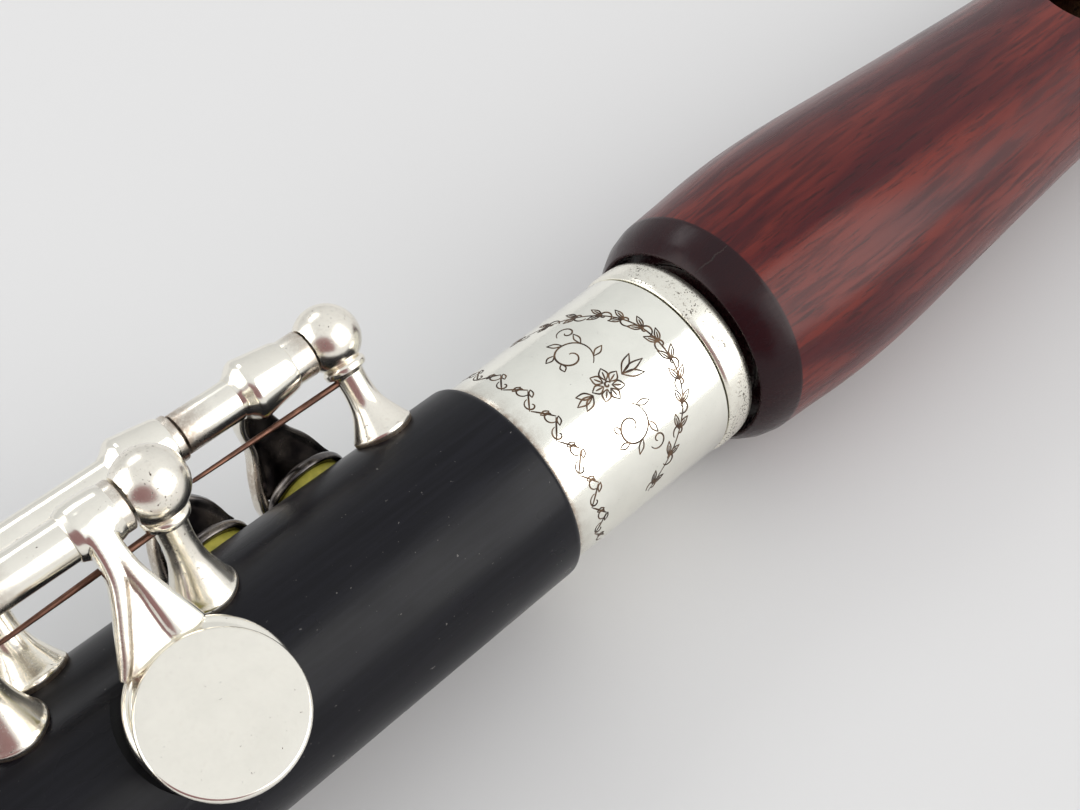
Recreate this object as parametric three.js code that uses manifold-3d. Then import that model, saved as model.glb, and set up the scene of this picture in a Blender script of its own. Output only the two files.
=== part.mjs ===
// A wooden piccolo in D with Boehm keywork, lying on a table: black body, silver barrel, red head joint.
// Lengths are millimetres and angles are degrees. A station is a distance along the tube from the joint of
// body wood and barrel, positive towards the head. An angle is measured round the tube from the line of the
// finger keys, positive towards the side of the rods. A reach is a distance from the tube's axis.
import * as THREE from "three";
import { mergeVertices } from "three/addons/utils/BufferGeometryUtils.js";
import Module from "manifold-3d";

const wasm = await Module();
wasm.setup();

// How far the piccolo is rolled from finger keys uppermost as it lies on its head, foot and thumb key.
const ROLL = 31;

// Body, barrel and head joint.
const FOOT_END = -188;
const BODY_RADIUS = 8.35;
const FOOT_RADIUS = 7.9;
const BORE_TOP_RADIUS = 5.5;
const BORE_FOOT_RADIUS = 4.6;
const SOCKET_DEPTH = 4.5;
const SPIGOT_RADIUS = 6.9;
const BARREL_RADIUS = 8;
const BARREL_BORE = 6.75;
const RING_START = 16.2;
const BARREL_END = 19;
const RING_RADIUS = 8.3;
const HEAD_FACE = 19.5;
const HEAD_FACE_RADIUS = 8.6;
const CHAMFER_END = 22;
const CHAMFER_RADIUS = 9.95;
const TENON_RADIUS = 6.65;
const TENON_START = 1.5;
const TENON_END = 34;
const HEAD_BORE = 5.5;
const EMBOUCHURE_STATION = 74.3;
const EMBOUCHURE_ANGLE = 23;
const EMBOUCHURE_LONG = 5.1;
const EMBOUCHURE_WIDE = 4.4;
const STOPPER_GAP = 8;
const CORK_LENGTH = 12;
const CROWN_START = 118;
const CROWN_END = 124.3;
const SLIT = 0.1;

// Keywork.
const TUBE_RADIUS = 1.5;
const TUBE_BORE = 1.12;
const ROD_RADIUS = 0.9;
const BALL_RADIUS = 2.45;
const BALL_HALF_WIDTH = 1.8;
const SEAT_DEPTH = 1;
const PAD_LIFT = 0.1;
const PAD_THICKNESS = 1.5;
const SPRING_RADIUS = 0.22;

// How many sides the round shapes have.
const WOOD_SIDES = 28;
const SLEEVE_SIDES = 26;
const CUP_SIDES = 16;
const TUBE_SIDES = 10;
const ROD_SIDES = 8;

// The rod lines: the angle and reach of each steel, and the stations of its posts.
const UPPER_LINE = { angle: 75.5, reach: 16.1, posts: [-6, -34, -134] };
const MAIN_LINE = { angle: 48, reach: 17.5, posts: [-23.4, -37, -93.5, -155] };
const GSHARP_LINE = { angle: -45, reach: 14, posts: [-87.5, -105.5] };
const DSHARP_LINE = { angle: -35, reach: 14, posts: [-157, -175] };
const THUMB_LINE = { angle: 105, reach: 13.2, posts: [-41, -69] };

const SILVER = { color: 0xd8d6cc, roughness: 0.22, metalness: 1 };
const STEEL = { color: 0x8f8a84, roughness: 0.35, metalness: 1 };
const BLUED = { color: 0x6e4632, roughness: 0.5, metalness: 0.7 };
const GRENADILLA = { color: 0x1c1c22, roughness: 0.38, metalness: 0 };
const ROSEWOOD = { color: 0x5c231e, roughness: 0.28, metalness: 0 };
const SKIN = { color: 0xc2b84a, roughness: 0.6, metalness: 0 };
const CORK = { color: 0xb08a5a, roughness: 0.9, metalness: 0 };

const radians = THREE.MathUtils.degToRad;
const instrument = new THREE.Group();

// ---------------------------------------------------------------- solids

// A closed geometry as a manifold solid. A geometry bent into a mirrored shape is turned right way out.
function solidOf(geometry, matrix = new THREE.Matrix4()) {
  const bare = geometry.clone();
  bare.deleteAttribute("normal");
  bare.deleteAttribute("uv");
  const merged = mergeVertices(bare, 1e-4);
  merged.applyMatrix4(matrix);
  const index = merged.index.array;
  const corners = [];
  for (let i = 0; i < index.length; i += 3) {
    const [a, b, c] = [index[i], index[i + 1], index[i + 2]];
    if (a !== b && b !== c && c !== a) corners.push(a, b, c);
  }
  const vertProperties = merged.attributes.position.array;
  const make = (list) =>
    new wasm.Manifold(new wasm.Mesh({ numProp: 3, vertProperties, triVerts: new Uint32Array(list) }));
  const solid = make(corners);
  return solid.volume() < 0 ? make(corners.reverse()) : solid;
}

// Joins a list of solids.
const join = (solids) => solids.reduce((whole, next) => whole.add(next));

// Takes each of a list of solids from the first.
const carve = (solid, cuts) => cuts.reduce((rest, cut) => rest.subtract(cut), solid);

// A manifold solid back as a three.js geometry.
function geometryOf(solid) {
  const mesh = solid.getMesh();
  const positions = new Float32Array(mesh.numVert * 3);
  for (let i = 0; i < mesh.numVert; i++) {
    positions.set(mesh.vertProperties.subarray(i * mesh.numProp, i * mesh.numProp + 3), i * 3);
  }
  const geometry = new THREE.BufferGeometry();
  geometry.setAttribute("position", new THREE.BufferAttribute(positions, 3));
  geometry.setIndex(new THREE.BufferAttribute(new Uint32Array(mesh.triVerts), 1));
  geometry.computeVertexNormals();
  return geometry;
}

// Adds a named mesh to a group.
function addMesh(name, solid, finish, parent = instrument) {
  const mesh = new THREE.Mesh(geometryOf(solid), new THREE.MeshStandardMaterial(finish));
  mesh.name = name;
  parent.add(mesh);
}

// ---------------------------------------------------------------- places

// The point at a station, an angle and a reach.
function place(station, angle, reach) {
  const turn = radians(angle);
  return new THREE.Vector3(station, reach * Math.sin(turn), reach * Math.cos(turn));
}

// A frame at a station whose Y axis points outward at an angle and whose X axis runs along the tube.
function outward(station, angle, reach = 0) {
  const along = new THREE.Vector3(1, 0, 0);
  const out = place(0, angle, 1);
  const across = new THREE.Vector3().crossVectors(along, out);
  const matrix = new THREE.Matrix4().makeBasis(along, out, across);
  return matrix.setPosition(place(station, angle, reach));
}

// A frame on a line parallel to the tube, whose Y axis runs along the tube.
function lengthwise(station, angle = 0, reach = 0) {
  const matrix = new THREE.Matrix4().makeRotationZ(-Math.PI / 2);
  return matrix.setPosition(place(station, angle, reach));
}

// ---------------------------------------------------------------- simple shapes

// A turned solid from [radius, height] pairs, which start and end on the axis or close on themselves.
function turned(pairs, sides, matrix) {
  const points = pairs.map(([radius, height]) => new THREE.Vector2(radius, height));
  const onAxis = pairs[0][0] === 0 && pairs[pairs.length - 1][0] === 0;
  if (!onAxis) points.push(points[0].clone());
  return solidOf(new THREE.LatheGeometry(points, sides), matrix);
}

// A round bar along the tube between two stations, at an angle and a reach.
function barAlong(from, to, radius, sides, angle = 0, reach = 0) {
  const geometry = new THREE.CylinderGeometry(radius, radius, to - from, sides);
  return solidOf(geometry, lengthwise((from + to) / 2, angle, reach));
}

// A round bar that points outward between two reaches.
function barOutward(station, angle, from, to, radius, sides) {
  const geometry = new THREE.CylinderGeometry(radius, radius, to - from, sides);
  return solidOf(geometry, outward(station, angle, (from + to) / 2));
}

// A flat arm through sections of { at: [station, across, up], half: half its width along the tube,
// thick: its thickness }, with across and up measured square to the tube's axis.
function arm(sections) {
  const last = sections.length - 1;
  const geometry = new THREE.BoxGeometry(1, 1, 1, last, 1, 1);
  const position = geometry.attributes.position;
  for (let i = 0; i < position.count; i++) {
    const k = Math.round((position.getX(i) + 0.5) * last);
    const { at, half, thick } = sections[k];
    const before = sections[Math.max(k - 1, 0)].at;
    const after = sections[Math.min(k + 1, last)].at;
    const run = Math.hypot(after[1] - before[1], after[2] - before[2]);
    const lift = (position.getY(i) * thick) / run;
    position.setXYZ(
      i,
      at[0] + 2 * position.getZ(i) * half,
      at[1] + (after[2] - before[2]) * lift,
      at[2] - (after[1] - before[1]) * lift,
    );
  }
  return solidOf(geometry);
}

// ---------------------------------------------------------------- the tube

// The body's outer radius at a station.
function bodyRadius(station) {
  return BODY_RADIUS + ((FOOT_RADIUS - BODY_RADIUS) * Math.max(-station - 40, 0)) / (-FOOT_END - 40);
}

// The cylinders that sink a tone hole and its flat seat into the body.
function toneHoleCuts({ station, angle, cupRadius, hole }) {
  const seat = bodyRadius(station) - SEAT_DEPTH;
  return [
    barOutward(station, angle, seat, BODY_RADIUS + 4, cupRadius + 0.5, 14),
    barOutward(station, angle, 2, seat + 1, hole, ROD_SIDES),
  ];
}

function addBody(holes, posts) {
  const profile = [
    [BORE_FOOT_RADIUS, FOOT_END],
    [FOOT_RADIUS - 1.2, FOOT_END],
    [FOOT_RADIUS - 1.2, FOOT_END + 5],
    [FOOT_RADIUS, FOOT_END + 5],
    [BODY_RADIUS, -40],
    [BODY_RADIUS, -0.9],
    [BODY_RADIUS - 0.3, -0.2],
    [SPIGOT_RADIUS + SLIT, -SLIT],
    [SPIGOT_RADIUS + SLIT, -SOCKET_DEPTH - SLIT],
    [BORE_TOP_RADIUS, -SOCKET_DEPTH - SLIT],
  ];
  const wood = turned(profile, WOOD_SIDES, lengthwise(0));
  const pegs = posts.map(({ station, angle }) => {
    const skin = bodyRadius(station);
    return barOutward(station, angle, skin - 2.2, skin + 1, 1.15, 6);
  });
  addMesh("body_wood", carve(wood, [...holes.flatMap(toneHoleCuts), ...pegs]), GRENADILLA);
  const foot = [
    [FOOT_RADIUS - 1.2 + SLIT, FOOT_END + 5 - SLIT],
    [FOOT_RADIUS + 0.6, FOOT_END + 5 - SLIT],
    [FOOT_RADIUS + 0.75, FOOT_END + 3.5],
    [FOOT_RADIUS + 0.6, FOOT_END + 0.2],
    [FOOT_RADIUS - 1.2 + SLIT, FOOT_END + 0.2],
  ];
  addMesh("foot_ring", turned(foot, SLEEVE_SIDES, lengthwise(0)), SILVER);
}

function addBarrel() {
  const tube = [
    [BORE_TOP_RADIUS, -SOCKET_DEPTH],
    [SPIGOT_RADIUS, -SOCKET_DEPTH],
    [SPIGOT_RADIUS, 0],
    [BARREL_RADIUS - 0.15, 0],
    [BARREL_RADIUS, 0.2],
    [BARREL_RADIUS, RING_START - SLIT],
    [BARREL_BORE + 0.75, RING_START - SLIT],
    [BARREL_BORE + 0.75, BARREL_END - 0.1],
    [BARREL_BORE, BARREL_END - 0.1],
    [BARREL_BORE, 0.8],
    [BORE_TOP_RADIUS, 0.8],
  ];
  addMesh("barrel_tube", turned(tube, SLEEVE_SIDES, lengthwise(0)), SILVER);
  const inner = BARREL_BORE + 0.75 + SLIT;
  const ring = [
    [inner, RING_START],
    [RING_RADIUS - 0.2, RING_START],
    [RING_RADIUS, RING_START + 0.5],
    [RING_RADIUS, BARREL_END - 0.7],
    [RING_RADIUS - 0.25, BARREL_END],
    [inner, BARREL_END],
  ];
  addMesh("barrel_ring", turned(ring, SLEEVE_SIDES, lengthwise(0)), SILVER);
}

function addHead() {
  const tenon = [
    [HEAD_BORE, TENON_START],
    [TENON_RADIUS, TENON_START],
    [TENON_RADIUS, TENON_END],
    [HEAD_BORE, TENON_END],
  ];
  addMesh("head_tenon", turned(tenon, SLEEVE_SIDES, lengthwise(0)), SILVER);
  const socket = TENON_RADIUS + 0.05;
  const wood = [
    [socket, HEAD_FACE],
    [HEAD_FACE_RADIUS, HEAD_FACE],
    [CHAMFER_RADIUS - 0.15, CHAMFER_END - 0.3],
    [CHAMFER_RADIUS + 0.1, CHAMFER_END + 0.6],
    [10.35, 25.5],
    [10.75, 30],
    [10.9, 34.5],
    [10.75, 40],
    [10.3, 48],
    [9.75, 58],
    [9.2, 70],
    [8.95, 82],
    [8.7, 100],
    [8.5, CROWN_START],
    [HEAD_BORE, CROWN_START],
    [HEAD_BORE, TENON_END + SLIT],
    [socket, TENON_END + SLIT],
  ];
  const hole = new THREE.CylinderGeometry(EMBOUCHURE_LONG, EMBOUCHURE_LONG + 0.3, 9, 20);
  hole.scale(1, 1, EMBOUCHURE_WIDE / EMBOUCHURE_LONG);
  const cut = solidOf(hole, outward(EMBOUCHURE_STATION, EMBOUCHURE_ANGLE, 7.5));
  addMesh("head_wood", turned(wood, WOOD_SIDES, lengthwise(0)).subtract(cut), ROSEWOOD);
  addStopper();
}

// The cork that closes the bore, the screw through it and the crown that turns the screw.
function addStopper() {
  const face = EMBOUCHURE_STATION + STOPPER_GAP;
  const cork = barAlong(face, face + CORK_LENGTH, HEAD_BORE - SLIT, 16);
  const shank = barAlong(face + 2, CROWN_START - 2, 1.5, ROD_SIDES);
  const clearance = barAlong(face + 1.5, face + CORK_LENGTH + 1, 1.7, ROD_SIDES);
  addMesh("stopper_cork", cork.subtract(clearance), CORK);
  const crown = [
    [0, CROWN_START - 6],
    [3.2, CROWN_START - 6],
    [3.2, CROWN_START + 0.3],
    [8.6, CROWN_START + 0.3],
    [8.75, CROWN_START + 2],
    [8.3, CROWN_START + 4.2],
    [4.5, CROWN_END],
    [0, CROWN_END],
  ];
  const nut = barAlong(CROWN_START - 6.5, CROWN_START - 1, 1.7, ROD_SIDES);
  addMesh("crown_cap", turned(crown, SLEEVE_SIDES, lengthwise(0)).subtract(nut), SILVER);
  addMesh("stopper_screw", shank, STEEL);
}

// ---------------------------------------------------------------- posts and steels

// A ball post screwed into the body, bored for its steel along the tube.
function addPost(name, line, station, bore) {
  const foot = bodyRadius(station);
  const ball = line.reach - foot;
  const collar = ball - BALL_RADIUS;
  const profile = [
    [0, -1.9],
    [0.85, -1.9],
    [0.85, 0.1],
    [2.25, 0.1],
    [1.45, 0.3 * collar],
    [1.1, 0.6 * collar],
    [1.4, collar - 0.4],
    [1.4, ball - 2.08],
    [2.1, ball - 1.25],
    [BALL_RADIUS, ball],
    [2.1, ball + 1.25],
    [1.2, ball + 2.13],
    [0, ball + BALL_RADIUS],
  ];
  const whole = turned(profile, TUBE_SIDES, outward(station, line.angle, foot));
  const flats = new THREE.BoxGeometry(BALL_HALF_WIDTH * 2, 2 * BALL_RADIUS + 1, 2 * BALL_RADIUS + 1);
  const head = solidOf(flats, outward(station, line.angle, line.reach));
  const stem = new THREE.BoxGeometry(6, line.reach, 6);
  const keep = head.add(solidOf(stem, outward(station, line.angle, foot + collar - line.reach / 2)));
  const hole = barAlong(station - 3, station + 3, bore, ROD_SIDES, line.angle, line.reach);
  addMesh(name, whole.intersect(keep).subtract(hole), SILVER);
}

// The steel between the outermost posts from and to.
function addSteel(name, line, from, to) {
  const bar = barAlong(to - 1.5, from + 1.5, ROD_RADIUS, ROD_SIDES, line.angle, line.reach);
  addMesh(name, bar, STEEL);
}

// A needle spring from a post's collar to a key.
function addSpring(name, line, from, to, angleEnd, reachEnd) {
  const start = place(from, line.angle, line.reach - 3.1);
  const end = place(to, angleEnd, reachEnd);
  const path = new THREE.LineCurve3(start, end);
  const section = new THREE.Shape();
  section.absarc(0, 0, SPRING_RADIUS, 0, 2 * Math.PI);
  const geometry = new THREE.ExtrudeGeometry(section, {
    steps: 1,
    curveSegments: 3,
    extrudePath: path,
    bevelEnabled: false,
  });
  addMesh(name, solidOf(geometry), BLUED);
}

// ---------------------------------------------------------------- keys

// A cup over its pad, closed on the seat, with a finger plate if the key has one.
function cup({ station, angle, cupRadius, proud = 0.6, plate }) {
  const wall = cupRadius - 0.45;
  const top = proud + 1.7;
  const profile = [
    [0, PAD_THICKNESS + 0.15],
    [wall, PAD_THICKNESS + 0.15],
    [wall, proud],
    [cupRadius, proud],
    [cupRadius, top],
  ];
  if (plate) {
    profile.push([plate - 1.4, top + 0.25], [plate - 1.4, top + 0.5], [plate, top + 0.5]);
    profile.push([plate, top + 1.2], [0, top + 1.2]);
  } else {
    profile.push([cupRadius - 0.9, top + 0.55], [0, top + 0.75]);
  }
  return turned(profile, CUP_SIDES, outward(station, angle, bodyRadius(station) - SEAT_DEPTH + PAD_LIFT));
}

// The space inside a cup and below it, which its arm keeps out of.
function hollow({ station, angle, cupRadius }) {
  const skin = bodyRadius(station) - SEAT_DEPTH + PAD_LIFT;
  return barOutward(station, angle, skin - 1.5, skin + PAD_THICKNESS + 0.15, cupRadius - 0.45, CUP_SIDES);
}

// The pad in a cup.
function pad({ station, angle, cupRadius }) {
  const radius = cupRadius - 0.6;
  const profile = [
    [0, 0],
    [radius - 0.25, 0],
    [radius, 0.25],
    [radius, PAD_THICKNESS],
    [0, PAD_THICKNESS],
  ];
  return turned(profile, CUP_SIDES, outward(station, angle, bodyRadius(station) - SEAT_DEPTH + PAD_LIFT));
}

// The swelling where a key's arm is brazed to its tube.
function hub(station, line, radius) {
  const profile = [
    [0, -1.6],
    [TUBE_RADIUS - 0.05, -1.6],
    [radius, -0.1],
    [radius - 0.3, 0.9],
    [TUBE_RADIUS + 0.25, 1.7],
    [TUBE_RADIUS + 0.25, 3.2],
    [0, 3.2],
  ];
  return turned(profile, TUBE_SIDES, lengthwise(station, line.angle, line.reach));
}

// A key: its tube between two stations, its extra pieces, its pad, all turned open by rest degrees.
function addKey({ name, line, from, to, pieces, seat, rest = 0 }) {
  const axle = place(0, line.angle, line.reach);
  const body = [barAlong(to, from, TUBE_RADIUS, TUBE_SIDES, line.angle, line.reach), ...pieces];
  const bore = barAlong(to - 2, from + 5, TUBE_BORE, ROD_SIDES, line.angle, line.reach);
  const turn = new THREE.Group();
  turn.position.copy(axle);
  turn.rotation.x = radians(rest);
  const held = new THREE.Group();
  held.position.copy(axle).negate();
  turn.add(held);
  const cuts = seat ? [bore, hollow(seat)] : [bore];
  addMesh(name, carve(join(body), cuts), SILVER, held);
  if (seat) addMesh(name.replace("_key", "_pad"), pad(seat), SKIN, held);
  instrument.add(turn);
}

// The arm of a top key, from the main line over to the near side of its cup.
function topArm(station, { cupRadius }, armStation, forked) {
  const rod = place(0, MAIN_LINE.angle, MAIN_LINE.reach);
  const edge = cupRadius - 1.3;
  const spread = forked ? 3.4 : 1.9;
  return arm([
    { at: [armStation, rod.y - 0.4, rod.z + 1.0], half: 1.2, thick: 1.0 },
    { at: [armStation, rod.y - 3.0, rod.z + 0.9], half: 1.1, thick: 1.3 },
    { at: [(armStation + station) / 2, rod.y - 6.3, rod.z - 0.7], half: 1.7, thick: 1.3 },
    { at: [station, edge + 0.6, 9.5], half: spread, thick: 1.0 },
    { at: [station, edge - 0.8, 9.3], half: spread - 0.6, thick: 0.8 },
  ]);
}

// The seats of all keys, from the head downward.
const SEATS = {
  dsharp_trill: { station: -11.3, angle: 113, cupRadius: 3.4, hole: 1.9, proud: 1.1 },
  d_trill: { station: -19.9, angle: 113, cupRadius: 3.4, hole: 1.9, proud: 1.1 },
  csharp: { station: -28.2, angle: -2, cupRadius: 5.1, hole: 2, plate: 5.25 },
  thumb_b: { station: -53, angle: 148, cupRadius: 5, hole: 2.6 },
  bflat: { station: -62, angle: -2, cupRadius: 4.4, hole: 2.5 },
  a: { station: -74, angle: -2, cupRadius: 5, hole: 2.7, plate: 4.9 },
  g: { station: -86, angle: -2, cupRadius: 5, hole: 2.7, plate: 4.9 },
  gsharp: { station: -96.5, angle: -80, cupRadius: 4.6, hole: 2.6 },
  fsharp: { station: -107, angle: -2, cupRadius: 4.6, hole: 2.6 },
  f: { station: -121, angle: -2, cupRadius: 5, hole: 2.8, plate: 4.9 },
  e: { station: -135, angle: -2, cupRadius: 5, hole: 2.8, plate: 4.9 },
  d: { station: -149, angle: -2, cupRadius: 5, hole: 2.8, plate: 4.9 },
  dsharp: { station: -166, angle: -75, cupRadius: 4.8, hole: 2.9 },
};

// The keys that stand open over the top of the body: name, tube ends and how far their arm is moved.
const TOP_OPENING = -7.5;
const TOP_KEYS = [
  ["csharp", -25.35, -35, -0.6],
  ["bflat", -39, -67, 0],
  ["a", -67.3, -79.5, 0],
  ["g", -79.8, -91.5, 0],
  ["fsharp", -95.5, -113, 0],
  ["f", -113.3, -127, 0],
  ["e", -127.3, -141, 0],
  ["d", -141.3, -153, 0],
];

function addTopKeys() {
  for (const [short, from, to, shift] of TOP_KEYS) {
    const seat = SEATS[short];
    const forked = short === "csharp";
    const pieces = [cup(seat), topArm(seat.station, seat, seat.station + shift, forked)];
    if (forked) pieces.push(barAlong(-27, from, TUBE_RADIUS + 0.2, TUBE_SIDES, MAIN_LINE.angle, MAIN_LINE.reach));
    addKey({ name: short + "_key", line: MAIN_LINE, from, to, pieces, seat, rest: TOP_OPENING });
  }
}

// A trill cup's arm runs down from the upper line to a cup on the far side of the body.
function trillArm(hubStation, { station }) {
  return arm([
    { at: [hubStation, 15.6, 2.9], half: 1.2, thick: 1.4 },
    { at: [hubStation - 0.3, 15.4, 1.0], half: 1.3, thick: 1.2 },
    { at: [(hubStation + station) / 2, 13.6, -1.6], half: 2, thick: 1.1 },
    { at: [station, 10.5, -3.7], half: 2.4, thick: 1.2 },
    { at: [station, 9.8, -4.1], half: 2.2, thick: 1.2 },
  ]);
}

// A trill touch rises from the upper line, over the main line, to a finger's reach between the top keys.
function trillTouch(station) {
  return arm([
    { at: [station, 15.9, 4.9], half: 1.2, thick: 1.2 },
    { at: [station, 17.2, 8.2], half: 1.1, thick: 1.1 },
    { at: [station, 16.8, 12.4], half: 1.1, thick: 1.1 },
    { at: [station, 13.8, 15.2], half: 1.2, thick: 1.1 },
    { at: [station, 9.8, 15.9], half: 1.5, thick: 1.1 },
    { at: [station, 6.4, 15.3], half: 1.2, thick: 0.9 },
  ]);
}

function addTrillKeys() {
  const line = UPPER_LINE;
  const collar = barAlong(-9.7, -7.95, TUBE_RADIUS + 0.25, TUBE_SIDES, line.angle, line.reach);
  addKey({
    name: "dsharp_trill_key",
    line,
    from: -7.95,
    to: -18.4,
    pieces: [collar, hub(-11.9, line, 2.25), trillArm(-11.9, SEATS.dsharp_trill), cup(SEATS.dsharp_trill)],
    seat: SEATS.dsharp_trill,
  });
  addKey({
    name: "d_trill_key",
    line,
    from: -18.6,
    to: -120,
    pieces: [hub(-21.8, line, 2.25), trillArm(-21.8, SEATS.d_trill), cup(SEATS.d_trill), trillTouch(-114.4)],
    seat: SEATS.d_trill,
  });
  addKey({
    name: "dsharp_trill_touch",
    line,
    from: -120.2,
    to: -132,
    pieces: [trillTouch(-128)],
  });
}

// The G sharp and D sharp keys: a closed cup low on the near side, lifted by a touch above their rod.
function addSideKey(short, line, tube, touchStation) {
  const seat = SEATS[short];
  const rod = place(0, line.angle, line.reach);
  const seatPoint = place(0, seat.angle, bodyRadius(seat.station) + 1.4);
  const toCup = arm([
    { at: [seat.station, rod.y - 0.6, rod.z - 0.6], half: 1.3, thick: 1.2 },
    { at: [seat.station, rod.y - 1.9, rod.z - 2.4], half: 1.4, thick: 1.2 },
    { at: [seat.station, seatPoint.y - 1.3, seatPoint.z + 3.2], half: 2.2, thick: 1.1 },
    { at: [seat.station, seatPoint.y - 0.4, seatPoint.z + 1.2], half: 2.4, thick: 1.1 },
  ]);
  const touch = arm([
    { at: [touchStation, rod.y + 0.2, rod.z + 0.7], half: 1.3, thick: 1.2 },
    { at: [touchStation, rod.y + 1.5, rod.z + 2.4], half: 1.5, thick: 1.2 },
    { at: [touchStation, rod.y + 3.6, rod.z + 3.5], half: 2.8, thick: 1.1 },
    { at: [touchStation, rod.y + 6.6, rod.z + 3.2], half: 2.6, thick: 1.0 },
  ]);
  addKey({ name: short + "_key", line, from: tube[0], to: tube[1], pieces: [cup(seat), toCup, touch], seat });
}

// The thumb key stands open under the body, and the B flat lever lies beside it on the same steel.
const THUMB_OPENING = 11;
function addThumbKeys() {
  const line = THUMB_LINE;
  const seat = SEATS.thumb_b;
  const rod = place(0, line.angle, line.reach);
  const seatPoint = place(0, seat.angle, bodyRadius(seat.station) + 1.2);
  const toCup = arm([
    { at: [seat.station, rod.y + 0.2, rod.z - 0.9], half: 1.3, thick: 1.2 },
    { at: [seat.station, rod.y - 0.8, rod.z - 2.6], half: 1.4, thick: 1.2 },
    { at: [seat.station, seatPoint.y + 2.6, seatPoint.z + 0.6], half: 2.4, thick: 1.1 },
    { at: [seat.station, seatPoint.y + 0.6, seatPoint.z - 0.4], half: 2.6, thick: 1.1 },
  ]);
  addKey({
    name: "thumb_b_key",
    line,
    from: -43,
    to: -58.6,
    pieces: [cup(seat), toCup],
    seat,
    rest: THUMB_OPENING,
  });
  const lever = arm([
    { at: [-63, rod.y + 0.2, rod.z - 0.9], half: 1.3, thick: 1.2 },
    { at: [-63, rod.y - 0.6, rod.z - 2.8], half: 1.5, thick: 1.2 },
    { at: [-63, rod.y - 3.4, rod.z - 4.6], half: 2.6, thick: 1.1 },
    { at: [-63, rod.y - 6.6, rod.z - 6.2], half: 2.4, thick: 1.0 },
  ]);
  addKey({ name: "bflat_thumb_lever", line, from: -58.8, to: -67, pieces: [lever] });
}

// ---------------------------------------------------------------- assembly

const LINES = {
  upper: UPPER_LINE,
  main: MAIN_LINE,
  gsharp: GSHARP_LINE,
  dsharp: DSHARP_LINE,
  thumb: THUMB_LINE,
};

// The D trill tube turns inside the middle post of the upper line, so that post is bored wider.
const MIDDLE_UPPER_POST = "post_upper_2";

function addPosts() {
  const pegs = [];
  for (const [lineName, line] of Object.entries(LINES)) {
    line.posts.forEach((station, i) => {
      const name = "post_" + lineName + "_" + (i + 1);
      const bore = name === MIDDLE_UPPER_POST ? TUBE_RADIUS + 0.2 : ROD_RADIUS + 0.15;
      addPost(name, line, station, bore);
      pegs.push({ station, angle: line.angle });
    });
  }
  return pegs;
}

const pegs = addPosts();
addBody(Object.values(SEATS), pegs);
addBarrel();
addHead();
addSteel("steel_trill", UPPER_LINE, UPPER_LINE.posts[0], UPPER_LINE.posts[2]);
addSteel("steel_main", MAIN_LINE, MAIN_LINE.posts[0], MAIN_LINE.posts[3]);
addSteel("steel_gsharp", GSHARP_LINE, GSHARP_LINE.posts[0], GSHARP_LINE.posts[1]);
addSteel("steel_dsharp", DSHARP_LINE, DSHARP_LINE.posts[0], DSHARP_LINE.posts[1]);
addSteel("steel_thumb", THUMB_LINE, THUMB_LINE.posts[0], THUMB_LINE.posts[1]);
addTopKeys();
addTrillKeys();
addSideKey("gsharp", GSHARP_LINE, [-89.5, -103.5], -94.2);
addSideKey("dsharp", DSHARP_LINE, [-159, -173], -161.5);
addThumbKeys();
addSpring("spring_trill", UPPER_LINE, -7.7, -20, 74, 13.1);
addSpring("spring_csharp", MAIN_LINE, -25.1, -33, 49, 13.6);

// The whole is rolled as it lies, and moved so that the origin is the bottom centre of its box.
instrument.rotation.x = radians(ROLL);
const piccolo = new THREE.Group();
piccolo.add(instrument);
piccolo.updateMatrixWorld(true);
const extent = new THREE.Box3().setFromObject(piccolo, true);
const centre = extent.getCenter(new THREE.Vector3());
instrument.position.set(-centre.x, -centre.y, -extent.min.z);

export default piccolo;
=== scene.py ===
import math

import bpy
import numpy as np
from mathutils import Matrix, Vector


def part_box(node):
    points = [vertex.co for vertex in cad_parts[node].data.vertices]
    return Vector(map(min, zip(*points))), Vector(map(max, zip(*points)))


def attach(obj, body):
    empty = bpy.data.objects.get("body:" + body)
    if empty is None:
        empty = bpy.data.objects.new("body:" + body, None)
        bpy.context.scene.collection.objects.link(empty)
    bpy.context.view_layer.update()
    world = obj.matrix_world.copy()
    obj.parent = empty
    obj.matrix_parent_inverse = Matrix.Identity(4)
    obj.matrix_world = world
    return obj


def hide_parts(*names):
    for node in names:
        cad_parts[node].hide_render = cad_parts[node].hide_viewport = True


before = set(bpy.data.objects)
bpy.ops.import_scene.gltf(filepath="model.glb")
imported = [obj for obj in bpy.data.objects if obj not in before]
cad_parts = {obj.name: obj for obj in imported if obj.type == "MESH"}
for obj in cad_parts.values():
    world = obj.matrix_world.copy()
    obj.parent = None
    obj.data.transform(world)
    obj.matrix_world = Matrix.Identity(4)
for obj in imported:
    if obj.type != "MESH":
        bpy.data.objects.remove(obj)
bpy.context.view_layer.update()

# Lengths below are millimetres and angles degrees, in the instrument's own terms: a station runs along
# the tube from the joint of wood and barrel, an angle goes round it from the finger keys towards the
# rods, and a reach is a distance from the axis. FRAME brings a point (station, across, up) to the row frame.
ROLL = 31
RING_START = 16.2
ring_low, ring_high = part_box("barrel_ring")
ORIGIN = Vector(
    (ring_low.x - RING_START / 1000, (ring_low.y + ring_high.y) / 2, (ring_low.z + ring_high.z) / 2)
)
FRAME = Matrix.Translation(ORIGIN) @ Matrix.Rotation(math.radians(ROLL), 4, "X") @ Matrix.Scale(0.001, 4)

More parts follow.
